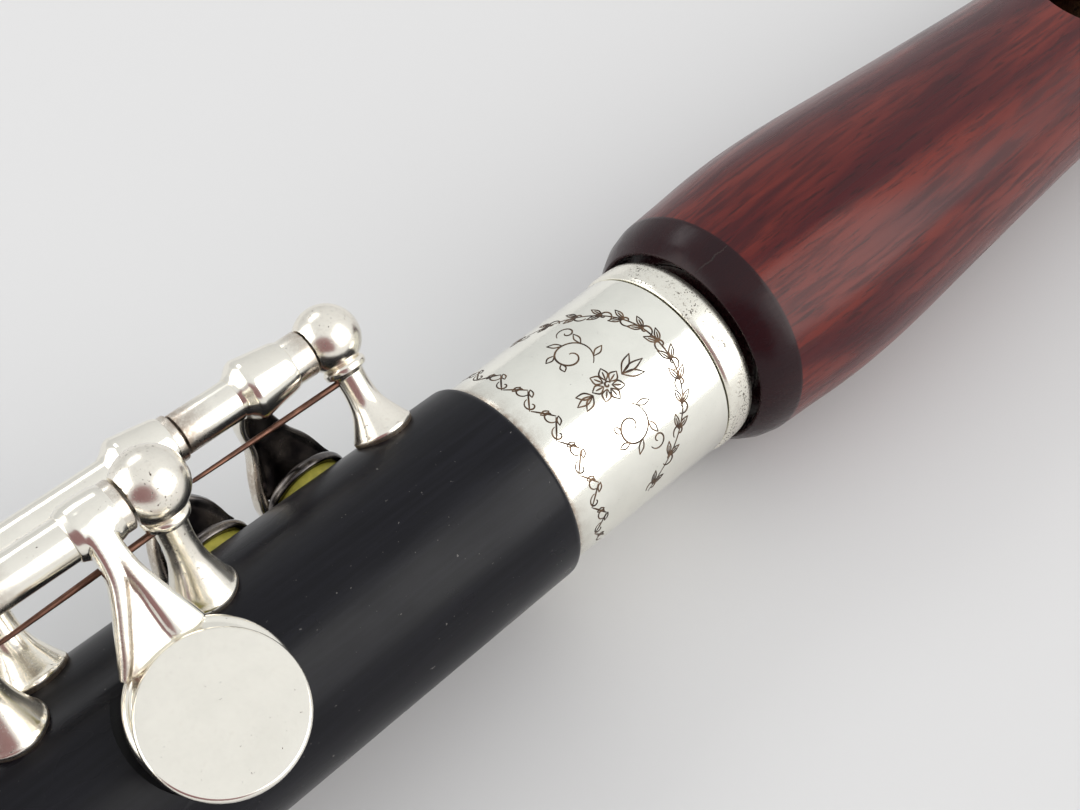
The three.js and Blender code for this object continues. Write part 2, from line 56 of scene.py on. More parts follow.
UPPER = {"angle": 75.5, "reach": 16.1, "posts": [-6, -34, -134]}
MAIN = {"angle": 48, "reach": 17.5, "posts": [-23.4, -37, -93.5, -155]}
GSHARP = {"angle": -45, "reach": 14, "posts": [-87.5, -105.5]}
DSHARP = {"angle": -35, "reach": 14, "posts": [-157, -175]}
THUMB = {"angle": 105, "reach": 13.2, "posts": [-41, -69]}
LINES = {"upper": UPPER, "main": MAIN, "gsharp": GSHARP, "dsharp": DSHARP, "thumb": THUMB}

# Radii of a hinge tube, its bore and a post's ball, and (half length, radius) of the sleeves on a tube.
TUBE = 1.5
TUBE_BORE = 0.95
BALL = 2.45
END_SLEEVE = (0.4, 1.66)
ARM_SLEEVE = (1.6, 1.7)

# The black body is straight as far as TAPER_START and gets thinner from there to its foot.
BODY_RADIUS = 8.35
FOOT_RADIUS = 7.9
TAPER_START = -40
BODY_FOOT = -188
BAND_START = -183
SEAT_DEPTH = 1
PAD_LIFT = 0.1

# The finger keys' seats face this way, and their plates end this far from the axis when closed.
TOP_ANGLE = -2
PLATE_TOP = 10.95
CRACK_ANGLE = 24.5


# ---- shapes


class Shape:
    """Vertices in instrument millimetres, faces, and a stain value for each vertex, which on some parts holds
    painted shade.
    """

    def __init__(self, verts, faces, stain_and_shade=None):
        self.verts = np.asarray(verts, float).reshape(-1, 3)
        self.faces = [tuple(f) for f in faces]
        self.stain_and_shade = np.zeros(len(self.verts)) if stain_and_shade is None else np.asarray(stain_and_shade, float)

    def __add__(self, other):
        shift = len(self.verts)
        faces = self.faces + [tuple(i + shift for i in f) for f in other.faces]
        return Shape(np.vstack([self.verts, other.verts]), faces, np.concatenate([self.stain_and_shade, other.stain_and_shade]))

    def moved(self, matrix):
        m = np.array(matrix)
        return Shape(self.verts @ m[:3, :3].T + m[:3, 3], self.faces, self.stain_and_shade)

    def stained(self, centre, radius, amount):
        """Stains the vertices near a point."""
        distance = np.linalg.norm(self.verts - np.asarray(centre, float), axis=1)
        added = amount * np.clip(1 - distance / radius, 0, 1)
        return Shape(self.verts, self.faces, np.maximum(self.stain_and_shade, added))


def polar(station, angle, reach):
    turn = math.radians(angle)
    return Vector((station, reach * math.sin(turn), reach * math.cos(turn)))


def basis(x, y, z, origin):
    """A frame from its three axes and its origin."""
    return Matrix((*zip(x, y, z, origin), (0, 0, 0, 1)))


def along(station=0, angle=0, reach=0):
    """A frame whose Z axis runs along the tube."""
    radial = polar(0, angle, 1)
    z = Vector((1, 0, 0))
    return basis(radial, z.cross(radial), z, polar(station, angle, reach))


def outward(station, angle, reach=0):
    """A frame whose Z axis points outward and whose X axis runs along the tube."""
    z = polar(0, angle, 1)
    x = Vector((1, 0, 0))
    return basis(x, z.cross(x), z, polar(station, angle, reach))


def axle(line, station=0):
    return polar(station, line["angle"], line["reach"])


def on_line(line, station=0):
    """A frame on a rod line, with its Z axis along the rod."""
    return along(station, line["angle"], line["reach"])


def turning(line, degrees):
    """A turn about a rod line."""
    turn = Matrix.Rotation(math.radians(degrees), 4, "X")
    return Matrix.Translation(axle(line)) @ turn @ Matrix.Translation(-axle(line))


def filleted(profile, steps=4):
    """Rounds the corners of (radius, height, fillet) points."""
    points = [Vector((p[0], p[1])) for p in profile]
    out = []
    for i, p in enumerate(profile):
        size = p[2] if len(p) > 2 else 0
        if not size or i in (0, len(profile) - 1):
            out.append((points[i].x, points[i].y))
            continue
        before, here, after = points[i - 1], points[i], points[i + 1]
        size = min(size, 0.48 * (before - here).length, 0.48 * (after - here).length)
        a = here + (before - here).normalized() * size
        b = here + (after - here).normalized() * size
        for k in range(steps + 1):
            t = k / steps
            q = a * (1 - t) ** 2 + here * 2 * t * (1 - t) + b * t**2
            out.append((q.x, q.y))
    return out


def split_long(profile, most):
    """Adds points where a profile's step is longer than most."""
    out = [profile[0]]
    for a, b in zip(profile, profile[1:]):
        n = max(1, math.ceil(math.dist(a, b) / most))
        out += [(a[0] + (b[0] - a[0]) * k / n, a[1] + (b[1] - a[1]) * k / n) for k in range(1, n + 1)]
    return out


def drum(radius, low, high):
    """The profile of a solid drum between two heights."""
    return [(0, low), (radius, low), (radius, high), (0, high)]


def lathe(profile, sides, matrix, closed=False):
    """A turned shape from (radius, height) points, on the axis at both ends or closed on itself."""
    rings, verts, faces = [], [], []
    for radius, height in profile:
        if radius < 1e-6:
            rings.append([len(verts)])
            verts.append((0, 0, height))
            continue
        rings.append(list(range(len(verts), len(verts) + sides)))
        for k in range(sides):
            turn = 2 * math.pi * k / sides
            verts.append((radius * math.cos(turn), radius * math.sin(turn), height))
    pairs = list(zip(rings, rings[1:]))
    if closed:
        pairs.append((rings[-1], rings[0]))
    for low, high in pairs:
        for k in range(sides):
            nxt = (k + 1) % sides
            if len(low) == 1 and len(high) == 1:
                continue
            if len(low) == 1:
                faces.append((low[0], high[nxt], high[k]))
            elif len(high) == 1:
                faces.append((low[k], low[nxt], high[0]))
            else:
                faces.append((low[k], low[nxt], high[nxt], high[k]))
    return Shape(verts, faces).moved(matrix)


def turned_ring(profile, sides, matrix=along()):
    """A closed profile with its corners rounded, turned round the tube or another frame."""
    return lathe(filleted(profile), sides, matrix, closed=True)


def smoothed(keys, samples):
    """Catmull-Rom through rows of numbers, sampled evenly in key number."""
    rows = np.asarray(keys, float)
    padded = np.vstack([2 * rows[0] - rows[1], rows, 2 * rows[-1] - rows[-2]])
    out = []
    for t in np.linspace(0, len(rows) - 1, samples):
        i = min(int(t), len(rows) - 2)
        u = t - i
        a, b, c, d = padded[i : i + 4]
        square, cube = 2 * a - 5 * b + 4 * c - d, 3 * b - a - 3 * c + d
        out.append(0.5 * (2 * b + (c - a) * u + square * u**2 + cube * u**3))
    return np.array(out)


def limb(keys, power, samples=28, sides=20):
    """A lofted limb through rows (x, y, z, half width along the tube, thickness), with domed ends."""
    rows = smoothed(keys, samples)
    centres = rows[:, :3]
    tangents = np.gradient(centres, axis=0)
    tangents /= np.linalg.norm(tangents, axis=1)[:, None]
    tube_axis = np.array((1.0, 0.0, 0.0))
    angles = np.linspace(0, 2 * math.pi, sides, endpoint=False)
    c, s = np.cos(angles), np.sin(angles)
    u = np.sign(c) * np.abs(c) ** (2 / power)
    w = np.sign(s) * np.abs(s) ** (2 / power)

    def ring(i, push=0, shrink=1):
        tangent, half, thick = tangents[i], rows[i, 3], rows[i, 4]
        across = tube_axis - tangent * (tube_axis @ tangent)
        across /= np.linalg.norm(across)
        normal = np.cross(across, tangent)
        outline = np.outer(u * half, across) + np.outer(w * thick / 2, normal)
        return centres[i] + tangent * push + shrink * outline

    def dome(i, direction):
        depth = 0.8 * direction * min(rows[i, 3], rows[i, 4] / 2)
        return [ring(i, depth * math.sqrt(1 - shrink**2), shrink) for shrink in (0.35, 0.7, 0.92)]

    rings = dome(0, -1) + [ring(i) for i in range(samples)] + dome(samples - 1, 1)[::-1]
    verts = np.vstack(rings)
    faces = [tuple(range(sides))[::-1]]
    for low in range(0, len(verts) - sides, sides):
        for k in range(sides):
            nxt = (k + 1) % sides
            faces.append((low + k, low + nxt, low + sides + nxt, low + sides + k))
    faces.append(tuple(range(len(verts) - sides, len(verts))))
    return Shape(verts, faces)


def slab(outline, low, high):
    """A flat plate with an outline of (x, t) points between two heights."""
    n = len(outline)
    verts = [(x, t, low) for x, t in outline] + [(x, t, high) for x, t in outline]
    faces = [tuple(range(n))[::-1], tuple(range(n, 2 * n))]
    faces += [(k, (k + 1) % n, n + (k + 1) % n, n + k) for k in range(n)]
    return Shape(verts, faces)


def added(name, data):
    obj = bpy.data.objects.new(name, data)
    bpy.context.scene.collection.objects.link(obj)
    return obj


def temporary(shape):
    mesh = bpy.data.meshes.new("temporary")
    mesh.from_pydata([tuple(v) for v in shape.verts], [], shape.faces)
    mesh.validate()
    return added("temporary", mesh)


def evaluated(obj, others=()):
    """An object's mesh with its modifiers, after which it and its helpers are removed."""
    bpy.context.view_layer.update()
    final = obj.evaluated_get(bpy.context.evaluated_depsgraph_get())
    result = final.to_mesh()
    shape = Shape([tuple(v.co) for v in result.vertices], [tuple(p.vertices) for p in result.polygons])
    final.to_mesh_clear()
    for o in (obj, *others):
        mesh = o.data
        bpy.data.objects.remove(o)
        bpy.data.meshes.remove(mesh)
    return shape


def cut(shape, cutters):
    """Takes closed shapes from a shape."""
    obj = temporary(shape)
    helpers = []
    for cutter in cutters:
        helper = temporary(cutter)
        helpers.append(helper)
        modifier = obj.modifiers.new("cut", "BOOLEAN")
        modifier.operation = "DIFFERENCE"
        modifier.solver = "EXACT"
        modifier.object = helper
    return evaluated(obj, helpers)


def welded(shape, voxel, passes):
    """Melts touching shapes into one skin, with soft fillets where they meet."""
    obj = temporary(shape)
    remesh = obj.modifiers.new("remesh", "REMESH")
    remesh.mode = "VOXEL"
    remesh.voxel_size = voxel
    smooth = obj.modifiers.new("smooth", "SMOOTH")
    smooth.factor = 0.5
    smooth.iterations = passes
    return evaluated(obj)


def piece(name, shape, material, body, nodes, sharp=34):
    """A finished object that rides on a body, stands for CAD nodes and has its material's slot."""
    mesh = bpy.data.meshes.new(name)
    m = np.array(FRAME)
    placed = shape.verts @ m[:3, :3].T + m[:3, 3]
    mesh.from_pydata([tuple(v) for v in placed], [], shape.faces)
    spot = mesh.attributes.new("mm", "FLOAT_VECTOR", "POINT")
    spot.data.foreach_set("vector", shape.verts.astype(np.float32).ravel())
    stain_and_shade = mesh.attributes.new("stain_and_shade", "FLOAT", "POINT")
    stain_and_shade.data.foreach_set("value", shape.stain_and_shade.astype(np.float32))
    mesh.polygons.foreach_set("use_smooth", [True] * len(mesh.polygons))
    if sharp:
        mesh.set_sharp_from_angle(angle=math.radians(sharp))
    mesh.materials.append(material)
    mesh.update()
    obj = added(name, mesh)
    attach(obj, body)
    if nodes:
        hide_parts(*nodes)
    return obj


# ---- materials


class Finish:
    """A Principled material whose nodes read the instrument's own millimetres."""

    def __init__(self, name, colour, metallic, roughness):
        self.material = bpy.data.materials.new(name)
        self.material.use_nodes = True
        self.tree = self.material.node_tree
        self.shader = self.tree.nodes["Principled BSDF"]
        self.shader.inputs["Base Color"].default_value = (*colour, 1)
        self.shader.inputs["Metallic"].default_value = metallic
        self.shader.inputs["Roughness"].default_value = roughness
        spot = self.node("ShaderNodeAttribute")
        spot.attribute_name = "mm"
        self.mm = spot.outputs["Vector"]
        stain_and_shade = self.node("ShaderNodeAttribute")
        stain_and_shade.attribute_name = "stain_and_shade"
        self.stain_and_shade = stain_and_shade.outputs["Fac"]

    def node(self, kind, **values):
        made = self.tree.nodes.new(kind)
        for key, value in values.items():
            setattr(made, key, value)
        return made

    def link(self, source, target):
        if isinstance(source, (int, float)):
            target.default_value = source
        elif isinstance(source, tuple):
            target.default_value = (*source, 1)
        else:
            self.tree.links.new(source, target)

    def scaled(self, scale):
        mapping = self.node("ShaderNodeMapping")
        mapping.inputs["Scale"].default_value = scale if isinstance(scale, tuple) else (scale,) * 3
        self.link(self.mm, mapping.inputs["Vector"])
        return mapping.outputs["Vector"]

    def noise(self, scale, detail, rough, distortion=0.0):
        made = self.node("ShaderNodeTexNoise")
        self.link(self.scaled(scale), made.inputs["Vector"])
        made.inputs["Scale"].default_value = 1
        made.inputs["Detail"].default_value = detail
        made.inputs["Roughness"].default_value = rough
        made.inputs["Distortion"].default_value = distortion
        return made.outputs["Fac"]

    def ramp(self, source, low, high, out_low=0.0, out_high=1.0):
        made = self.node("ShaderNodeMapRange")
        made.interpolation_type = "SMOOTHSTEP"
        self.link(source, made.inputs["Value"])
        for key, value in (("From Min", low), ("From Max", high), ("To Min", out_low), ("To Max", out_high)):
            made.inputs[key].default_value = value
        return made.outputs["Result"]

    def math(self, operation, a, b):
        made = self.node("ShaderNodeMath", operation=operation, use_clamp=True)
        self.link(a, made.inputs[0])
        self.link(b, made.inputs[1])
        return made.outputs["Value"]

    def times(self, a, b):
        return self.math("MULTIPLY", a, b)

    def plus(self, a, b):
        return self.math("ADD", a, b)

    def minus(self, a, b):
        return self.math("SUBTRACT", a, b)

    def mix(self, factor, a, b):
        made = self.node("ShaderNodeMix", data_type="RGBA")
        self.link(factor, made.inputs["Factor"])
        self.link(a, made.inputs["A"])
        self.link(b, made.inputs["B"])
        return made.outputs["Result"]

    def set(self, **sources):
        for key, source in sources.items():
            self.link(source, self.shader.inputs[key.replace("_", " ").title()])

    def bump(self, height, strength, distance):
        made = self.node("ShaderNodeBump")
        made.inputs["Strength"].default_value = strength
        made.inputs["Distance"].default_value = distance
        self.link(height, made.inputs["Height"])
        self.link(made.outputs["Normal"], self.shader.inputs["Normal"])


def silver_finish(name, tone, rough, pits, stains):
    """Old silver: warm white, finely scratched, pitted, brown where it is stained and where shade is painted
    into the stain value, as along the Y-arm's crease.
    """
    f = Finish(name, tone, 1.0, rough)
    cloud = f.noise(0.35, 5, 0.6)
    fine = f.noise(3.1, 6, 0.7)
    scratches = f.noise((0.8, 9, 9), 3, 0.6, 0.4)
    dots = f.noise(5.5, 2, 0.5)
    rim = 0.70 - 0.12 * pits
    pit = f.times(f.ramp(dots, rim, rim + 0.04), f.ramp(cloud, 0.42, 0.60))
    film = f.times(f.ramp(fine, 0.50, 0.75), stains)
    # The stain value browns the silver: real tarnish on most parts, painted shade along the Y-arm's crease
    # and web.
    stained = f.times(f.stain_and_shade, f.ramp(fine, 0.25, 0.62, 0.35, 1.0))
    worn = f.mix(f.ramp(cloud, 0.3, 0.75), tone, tuple(0.93 * v for v in tone))
    filmed = f.mix(film, worn, (0.72, 0.64, 0.53))
    browned_and_shaded = f.mix(stained, filmed, (0.20, 0.105, 0.05))
    f.set(base_color=f.mix(pit, browned_and_shaded, (0.10, 0.08, 0.065)))
    smeared = f.ramp(cloud, 0.3, 0.7, rough * 0.8, rough * 1.35)
    dulled = f.plus(smeared, f.times(stained, 0.35))
    f.set(roughness=f.plus(dulled, f.times(pit, 0.3)))
    height = f.minus(f.times(scratches, 0.25), f.times(pit, 0.8))
    lifted = f.plus(f.times(cloud, 0.6), height)
    f.bump(lifted, 0.35, 0.00003)
    return f.material


def grenadilla_finish():
    """Black wood, satin, with fine pores along the grain and pale dust in them."""
    f = Finish("grenadilla", (0.012, 0.012, 0.016), 0.0, 0.36)
    grain = f.noise((0.12, 2.2, 2.2), 6, 0.6, 0.3)
    pores = f.noise((0.9, 7.5, 7.5), 3, 0.5)
    dust = f.noise((2.6, 3.2, 3.2), 2, 0.5)
    cloud = f.noise((0.11, 0.2, 0.2), 3, 0.5)
    streaked = f.mix(f.ramp(grain, 0.3, 0.75), (0.0042, 0.0042, 0.0062), (0.0078, 0.0078, 0.0112))
    pored = f.mix(f.ramp(pores, 0.60, 0.72), streaked, (0.005, 0.005, 0.006))
    f.set(base_color=f.mix(f.ramp(dust, 0.735, 0.77, 0, 0.55), pored, (0.22, 0.21, 0.20)))
    f.set(roughness=f.ramp(cloud, 0.35, 0.65, 0.27, 0.38))
    f.shader.inputs["Specular IOR Level"].default_value = 0.18
    height = f.minus(f.times(grain, 0.5), f.times(pores, 0.5))
    f.bump(height, 0.25, 0.00004)
    return f.material


def rosewood_finish():
    """Red-brown wood under varnish, with dark broken streaks along the grain."""
    f = Finish("rosewood", (0.10, 0.017, 0.013), 0.0, 0.3)
    broad = f.noise((0.03, 0.24, 0.24), 4, 0.55, 0.6)
    streaks = f.noise((0.07, 1.6, 1.6), 5, 0.6, 0.5)
    dashes = f.noise((0.30, 3.6, 3.6), 3, 0.5, 0.4)
    base = f.mix(f.ramp(broad, 0.32, 0.68), (0.054, 0.0052, 0.0075), (0.148, 0.0215, 0.0148))
    streaked = f.mix(f.times(f.ramp(streaks, 0.44, 0.64), 0.7), base, (0.036, 0.0056, 0.0075))
    dashed = f.mix(f.times(f.ramp(dashes, 0.57, 0.68), 0.55), streaked, (0.014, 0.004, 0.005))
    # Painted shade: where the stain value is set (the head's chamfer, front face and bore) the wood goes near
    # black.
    f.set(base_color=f.mix(f.stain_and_shade, dashed, (0.014, 0.0042, 0.0062)))
    f.set(roughness=f.ramp(streaks, 0.3, 0.7, 0.2, 0.32))
    f.shader.inputs["Coat Weight"].default_value = 0.06
    f.shader.inputs["Specular IOR Level"].default_value = 0.2
    f.shader.inputs["Coat Roughness"].default_value = 0.16
    f.bump(f.minus(0.5, f.times(dashes, 0.5)), 0.18, 0.00004)
    return f.material


def two_toned(name, metallic, tone, rough, other, stretch):
    """A surface that drifts between two tones."""
    f = Finish(name, tone, metallic, rough)
    f.cloud = f.noise(stretch, 4, 0.6)
    f.set(base_color=f.mix(f.ramp(f.cloud, 0.35, 0.7), tone, other))
    return f


def plain_metal(name, tone, rough, other, stretch):
    f = two_toned(name, 1.0, tone, rough, other, stretch)
    f.set(roughness=f.ramp(f.cloud, 0.3, 0.7, rough * 0.8, rough * 1.4))
    f.bump(f.cloud, 0.2, 0.00002)
    return f.material


def skin_finish():
    """Yellow fish skin over felt, a little translucent, creased round its edge."""
    f = Finish("pad_skin", (0.52, 0.47, 0.05), 0.0, 0.5)
    cloud = f.noise(0.8, 4, 0.6)
    creases = f.noise(4.5, 4, 0.6, 0.8)
    f.set(base_color=f.mix(f.ramp(cloud, 0.3, 0.7), (0.40, 0.37, 0.045), (0.62, 0.56, 0.09)))
    f.set(roughness=f.ramp(creases, 0.3, 0.7, 0.38, 0.6))
    f.bump(creases, 0.35, 0.00005)
    return f.material


def cork_finish():
    f = Finish("cork", (0.36, 0.2, 0.1), 0.0, 0.85)
    cells = f.noise(2.4, 5, 0.7)
    pits = f.noise(1.1, 2, 0.5)
    base = f.mix(f.ramp(cells, 0.35, 0.7), (0.24, 0.13, 0.065), (0.47, 0.29, 0.15))
    f.set(base_color=f.mix(f.ramp(pits, 0.62, 0.7), base, (0.07, 0.035, 0.02)))
    f.bump(cells, 0.6, 0.0001)
    return f.material


KEY_SILVER = silver_finish("key_silver", (0.975, 0.94, 0.845), 0.15, -0.2, 0.12)
TUBE_SILVER = silver_finish("tube_silver", (0.98, 0.972, 0.885), 0.12, -0.2, 0.04)
POST_SILVER = silver_finish("post_silver", (0.965, 0.92, 0.82), 0.21, 0.5, 0.4)
RING_SILVER = silver_finish("ring_silver", (0.96, 0.935, 0.835), 0.24, 0.95, 0.5)
GRENADILLA = grenadilla_finish()
ROSEWOOD = rosewood_finish()
STEEL = plain_metal("rod_steel", (0.42, 0.40, 0.37), 0.32, (0.30, 0.26, 0.22), (0.6, 4, 4))
BLUED = plain_metal("spring_steel", (0.17, 0.085, 0.06), 0.4, (0.10, 0.055, 0.042), (0.9, 3, 3))
# Painted reflection and shade: a dark metal for the trill arms' faces and cups, standing in for the dark body
# reflected in them.
DARK_PAINTED_SILVER = plain_metal("silver_painted_dark", (0.055, 0.051, 0.055), 0.2, (0.20, 0.18, 0.165), 0.45)
SKIN = skin_finish()
CORK = cork_finish()
ENGRAVING = two_toned("engraved_line", 0.6, (0.035, 0.02, 0.013), 0.45, (0.17, 0.10, 0.055), 1.6).material
CRACK = two_toned("crack_shadow", 0.0, (0.01, 0.004, 0.004), 0.7, (0.022, 0.007, 0.006), (1.5, 3, 3)).material


# ---- tube, barrel and head

# Each pad's station, angle, cup radius, hole radius and what its cup has of its own.
TRILL_CUP = {"proud": 1.1, "tall": 0.95}
PLATED = {"plate": 4.9}
SEATS = {
    name: {"station": station, "angle": angle, "cup": cup, "hole": hole, **own}
    for name, station, angle, cup, hole, own in (
        ("dsharp_trill", -11.3, 113, 3.4, 1.9, TRILL_CUP),
        ("d_trill", -19.9, 113, 3.4, 1.9, TRILL_CUP),
        ("csharp", -27.7, 4.8, 5.2, 2, {"plate": 5.05, "shift": (-0.22, -1.15)}),
        ("thumb_b", -53, 148, 5, 2.6, {}),
        ("bflat", -62, TOP_ANGLE, 4.4, 2.5, {}),
        ("a", -74, TOP_ANGLE, 5, 2.7, PLATED),
        ("g", -86, TOP_ANGLE, 5, 2.7, PLATED),
        ("gsharp", -96.5, -80, 4.6, 2.6, {}),
        ("fsharp", -107, TOP_ANGLE, 4.6, 2.6, {}),
        ("f", -121, TOP_ANGLE, 5, 2.8, PLATED),
        ("e", -135, TOP_ANGLE, 5, 2.8, PLATED),
        ("d", -149, TOP_ANGLE, 5, 2.8, PLATED),
        ("dsharp", -166, -75, 4.8, 2.9, {}),
    )
}


def body_radius(station):
    taper = max(TAPER_START - station, 0) / (TAPER_START - BODY_FOOT)
    return BODY_RADIUS - (BODY_RADIUS - FOOT_RADIUS) * taper


def pad_place(seat):
    """The frame of a pad and its cup, a little above the floor of the pad's seat."""
    floor = body_radius(seat["station"]) - SEAT_DEPTH
    return outward(seat["station"], seat["angle"], floor + PAD_LIFT)


def build_body():
    profile = [
        (4.6, BODY_FOOT), (6.7, BODY_FOOT, 0.3), (6.7, BAND_START, 0.1), (FOOT_RADIUS, BAND_START, 0.2),
        (BODY_RADIUS, TAPER_START), (BODY_RADIUS, 0, 1.1), (7.0, 0, 0.1), (7.0, -4.6), (5.5, -4.6),
        (4.6, BODY_FOOT),
    ]
    ring = split_long(filleted(profile, 6)[:-1], 2.5)
    wood = lathe(ring, 112, along(), closed=True)
    cutters = []
    for seat in SEATS.values():
        floor = body_radius(seat["station"]) - SEAT_DEPTH
        well = [(0, floor), (seat["cup"] + 0.3, floor), (seat["cup"] + 0.35, 13), (0, 13)]
        hole = [(0, 2), (seat["hole"] + 0.25, 2), (seat["hole"], floor + 0.5), (0, floor + 0.5)]
        cutters.append(lathe(well, 56, outward(seat["station"], seat["angle"])))
        cutters.append(lathe(hole, 40, outward(seat["station"], seat["angle"])))
    piece("wooden_body", cut(wood, cutters), GRENADILLA, "body", ["body_wood"], 40)
    foot = [
        (6.8, -183.1), (8.55, -183.1, 0.3), (8.62, -184.4, 0.3), (8.3, -184.8, 0.2), (8.62, -185.2, 0.3),
        (8.62, -187.2, 0.5), (8.2, -187.8, 0.3), (6.8, -187.8),
    ]
    band = turned_ring(foot, 96)
    piece("foot_band", band, TUBE_SILVER, "body", ["foot_ring"])


def build_barrel():
    profile = [
        (5.5, -4.5), (6.9, -4.5, 0.1), (6.9, 0.02), (7.78, 0.02, 0.12), (7.84, 0.5), (7.92, 6), (8.02, 12),
        (8.1, 16.05, 0.1), (7.5, 16.1), (7.5, 18.9), (6.75, 18.9), (6.75, 0.8), (5.5, 0.8),
    ]
    tube = lathe(split_long(filleted(profile), 1.2), 144, along(), closed=True)
    for angle in range(-180, 180, 12):
        tube = tube.stained(polar(0, angle, 7.9), 1.3, 0.45)
    tube.stain_and_shade = np.maximum(tube.stain_and_shade, 0.75 * (tube.verts[:, 0] < 0.3))
    piece("barrel_sleeve", tube, TUBE_SILVER, "body", ["barrel_tube"])
    ring = [
        (7.6, 16.22), (8.1, 16.22, 0.1), (8.28, 16.5, 0.15), (8.3, 17.4), (8.26, 18.4, 0.3),
        (8.02, 19.0, 0.25), (7.6, 19.0),
    ]
    band = lathe(split_long(filleted(ring), 0.4), 144, along(), closed=True)
    piece("barrel_end_ring", band, RING_SILVER, "body", ["barrel_ring"])


def build_head():
    slide = turned_ring([(5.5, 1.5), (6.65, 1.5, 0.1), (6.65, 34), (5.5, 34)], 96)
    piece("tuning_slide", slide, TUBE_SILVER, "head_tube", ["head_tenon"])
    lip = [
        (6.72, 21), (8.15, 21), (8.4, 19.4, 0.1), (8.66, 19.25, 0.12), (9.3, 20.05), (9.82, 21),
        (10.16, 22.2, 0.1), (10.18, 22.36), (10.19, 22.48),
    ]
    outline = [
        (22.6, 10.2), (25.5, 10.42), (30, 10.78), (34.5, 10.9), (40, 10.75), (48, 10.3), (58, 9.75),
        (70, 9.2), (82, 8.95), (100, 8.7), (117.6, 8.5),
    ]
    profile = filleted(lip) + [(radius, station) for station, radius in smoothed(outline, 150)]
    profile += [(8.3, 118), (5.5, 118), (5.5, 34.1), (6.72, 34.1)]
    wood = lathe(split_long(profile, 1.6), 144, along(), closed=True)
    half_length, half_width = 5.1, 4.4
    ellipse = Matrix.Diagonal((1, half_width / half_length, 1, 1))
    chimney = [(0, 3), (5.45, 3), (half_length, 8.2), (5.13, 8.9), (5.5, 9.6), (0, 9.6)]
    wood = cut(wood, [lathe(chimney, 72, outward(74.3, 23) @ ellipse)])
    stations = wood.verts[:, 0]
    reach = np.hypot(wood.verts[:, 1], wood.verts[:, 2])
    # Painted shade: the chamfer and front face by the gap at the ring, and the bore, are painted near black
    # through the stain value.
    wood.stain_and_shade = np.where((stations < 22.4) | (reach < 7), 0.95, 0)
    piece("wooden_head", wood, ROSEWOOD, "head", ["head_wood"], 50)


def build_stopper():
    """The cork that closes the bore, its threaded rod and the crown that turns it."""
    face = 82.3
    cork = [
        (0, face), (5.3, face, 0.2), (5.4, face + 1), (5.4, face + 11), (5.3, face + 12, 0.2), (0, face + 12),
    ]
    piece("stopper", lathe(filleted(cork), 56, along()), CORK, "stopper", ["stopper_cork"])
    screw = [(0, face + 11.8), (1.3, face + 11.8)]
    pitch = 0.8
    for k in range(26):
        screw += [(1.5, face + 12.3 + k * pitch), (1.28, face + 12.7 + k * pitch)]
    screw += [(1.3, 116), (0, 116)]
    piece("stopper_rod", lathe(screw, 32, along()), STEEL, "stopper", ["stopper_screw"])
    crown = [
        (0, 112), (3.2, 112), (3.2, 118.3), (8.55, 118.3, 0.2), (8.72, 119.2, 0.3), (8.5, 119.8, 0.2),
        (8.72, 120.3, 0.3), (8.35, 122.3, 0.6), (7.2, 123.6, 0.8), (4.5, 124.25, 0.4), (0, 124.3),
    ]
    piece("crown", lathe(filleted(crown), 96, along()), TUBE_SILVER, "crown", ["crown_cap"])


# ---- engraving


def spiral(centre, start, turns, size, direction, steps):
    """A scroll that winds in to its centre."""
    t = np.linspace(0, 1, steps)
    turn = start + direction * turns * 2 * math.pi * t
    radius = size * (1 - 0.86 * t)
    return np.column_stack([centre[0] + radius * np.cos(turn), centre[1] + radius * np.sin(turn)])


def stroke(points, width, surface, lift=0.012):
    """A tapering line laid on a surface of revolution: points are (station, arc length) pairs."""
    points = np.asarray(points, float)
    along_line = np.gradient(points, axis=0)
    along_line /= np.linalg.norm(along_line, axis=1)[:, None] + 1e-9
    normal = np.column_stack([-along_line[:, 1], along_line[:, 0]])
    t = np.linspace(0, 1, len(points))
    half = width / 2 * (0.35 + 0.65 * np.sin(math.pi * np.clip(t * 0.92 + 0.04, 0, 1)) ** 0.7)
    verts = []
    for side in (-1, 1):
        for (station, arc), n, h in zip(points, normal, half):
            s, v = station + side * n[0] * h, arc + side * n[1] * h
            radius = surface(s) + lift
            turn = v / surface(s)
            verts.append((s, radius * math.sin(turn), radius * math.cos(turn)))
    count = len(points)
    faces = [(k, k + 1, count + k + 1, count + k) for k in range(count - 1)]
    return Shape(verts, faces)


def barrel_surface(station):
    return float(np.interp(station, [0, 6, 12, 16.05], [7.83, 7.92, 8.02, 8.1]))


def leaf(root, heading, length, bend, width, rib=False):
    """Two bowed lines that meet in a point, some with a rib, as (points, width) pairs."""
    ahead = np.array([math.cos(heading), math.sin(heading)])
    aside = np.array([-ahead[1], ahead[0]]) * bend
    root = np.asarray(root, float)
    middle, tip = root + ahead * length * 0.5, root + ahead * length
    lines = [smoothed([root, middle + aside, tip], 20), smoothed([root, middle - aside, tip], 20)]
    if rib:
        lines.append(smoothed([root + ahead * length * 0.1, root + ahead * length * 0.7], 8))
    return [(line, width) for line in lines]


def vine():
    """Running scrolls and leaves beside the wood."""
    strokes = []
    for k, v in enumerate(np.linspace(-9.6, 10.6, 15)):
        side = 1 if k % 2 else -1
        strokes.append((spiral((2.3 - side * 0.2, v), side * 1.4, 0.85, 0.6, side, 34), 0.13))
        stem = [(2.25 - side * 0.62, v - 0.3), (2.25, v + 0.45), (2.25 + side * 0.55, v + 1.1)]
        strokes.append((smoothed(stem, 18), 0.14))
        strokes += leaf((2.3 + side * 0.3, v + 0.45), side * 0.6 + 0.4, 0.75, 0.16, 0.12)
    return strokes


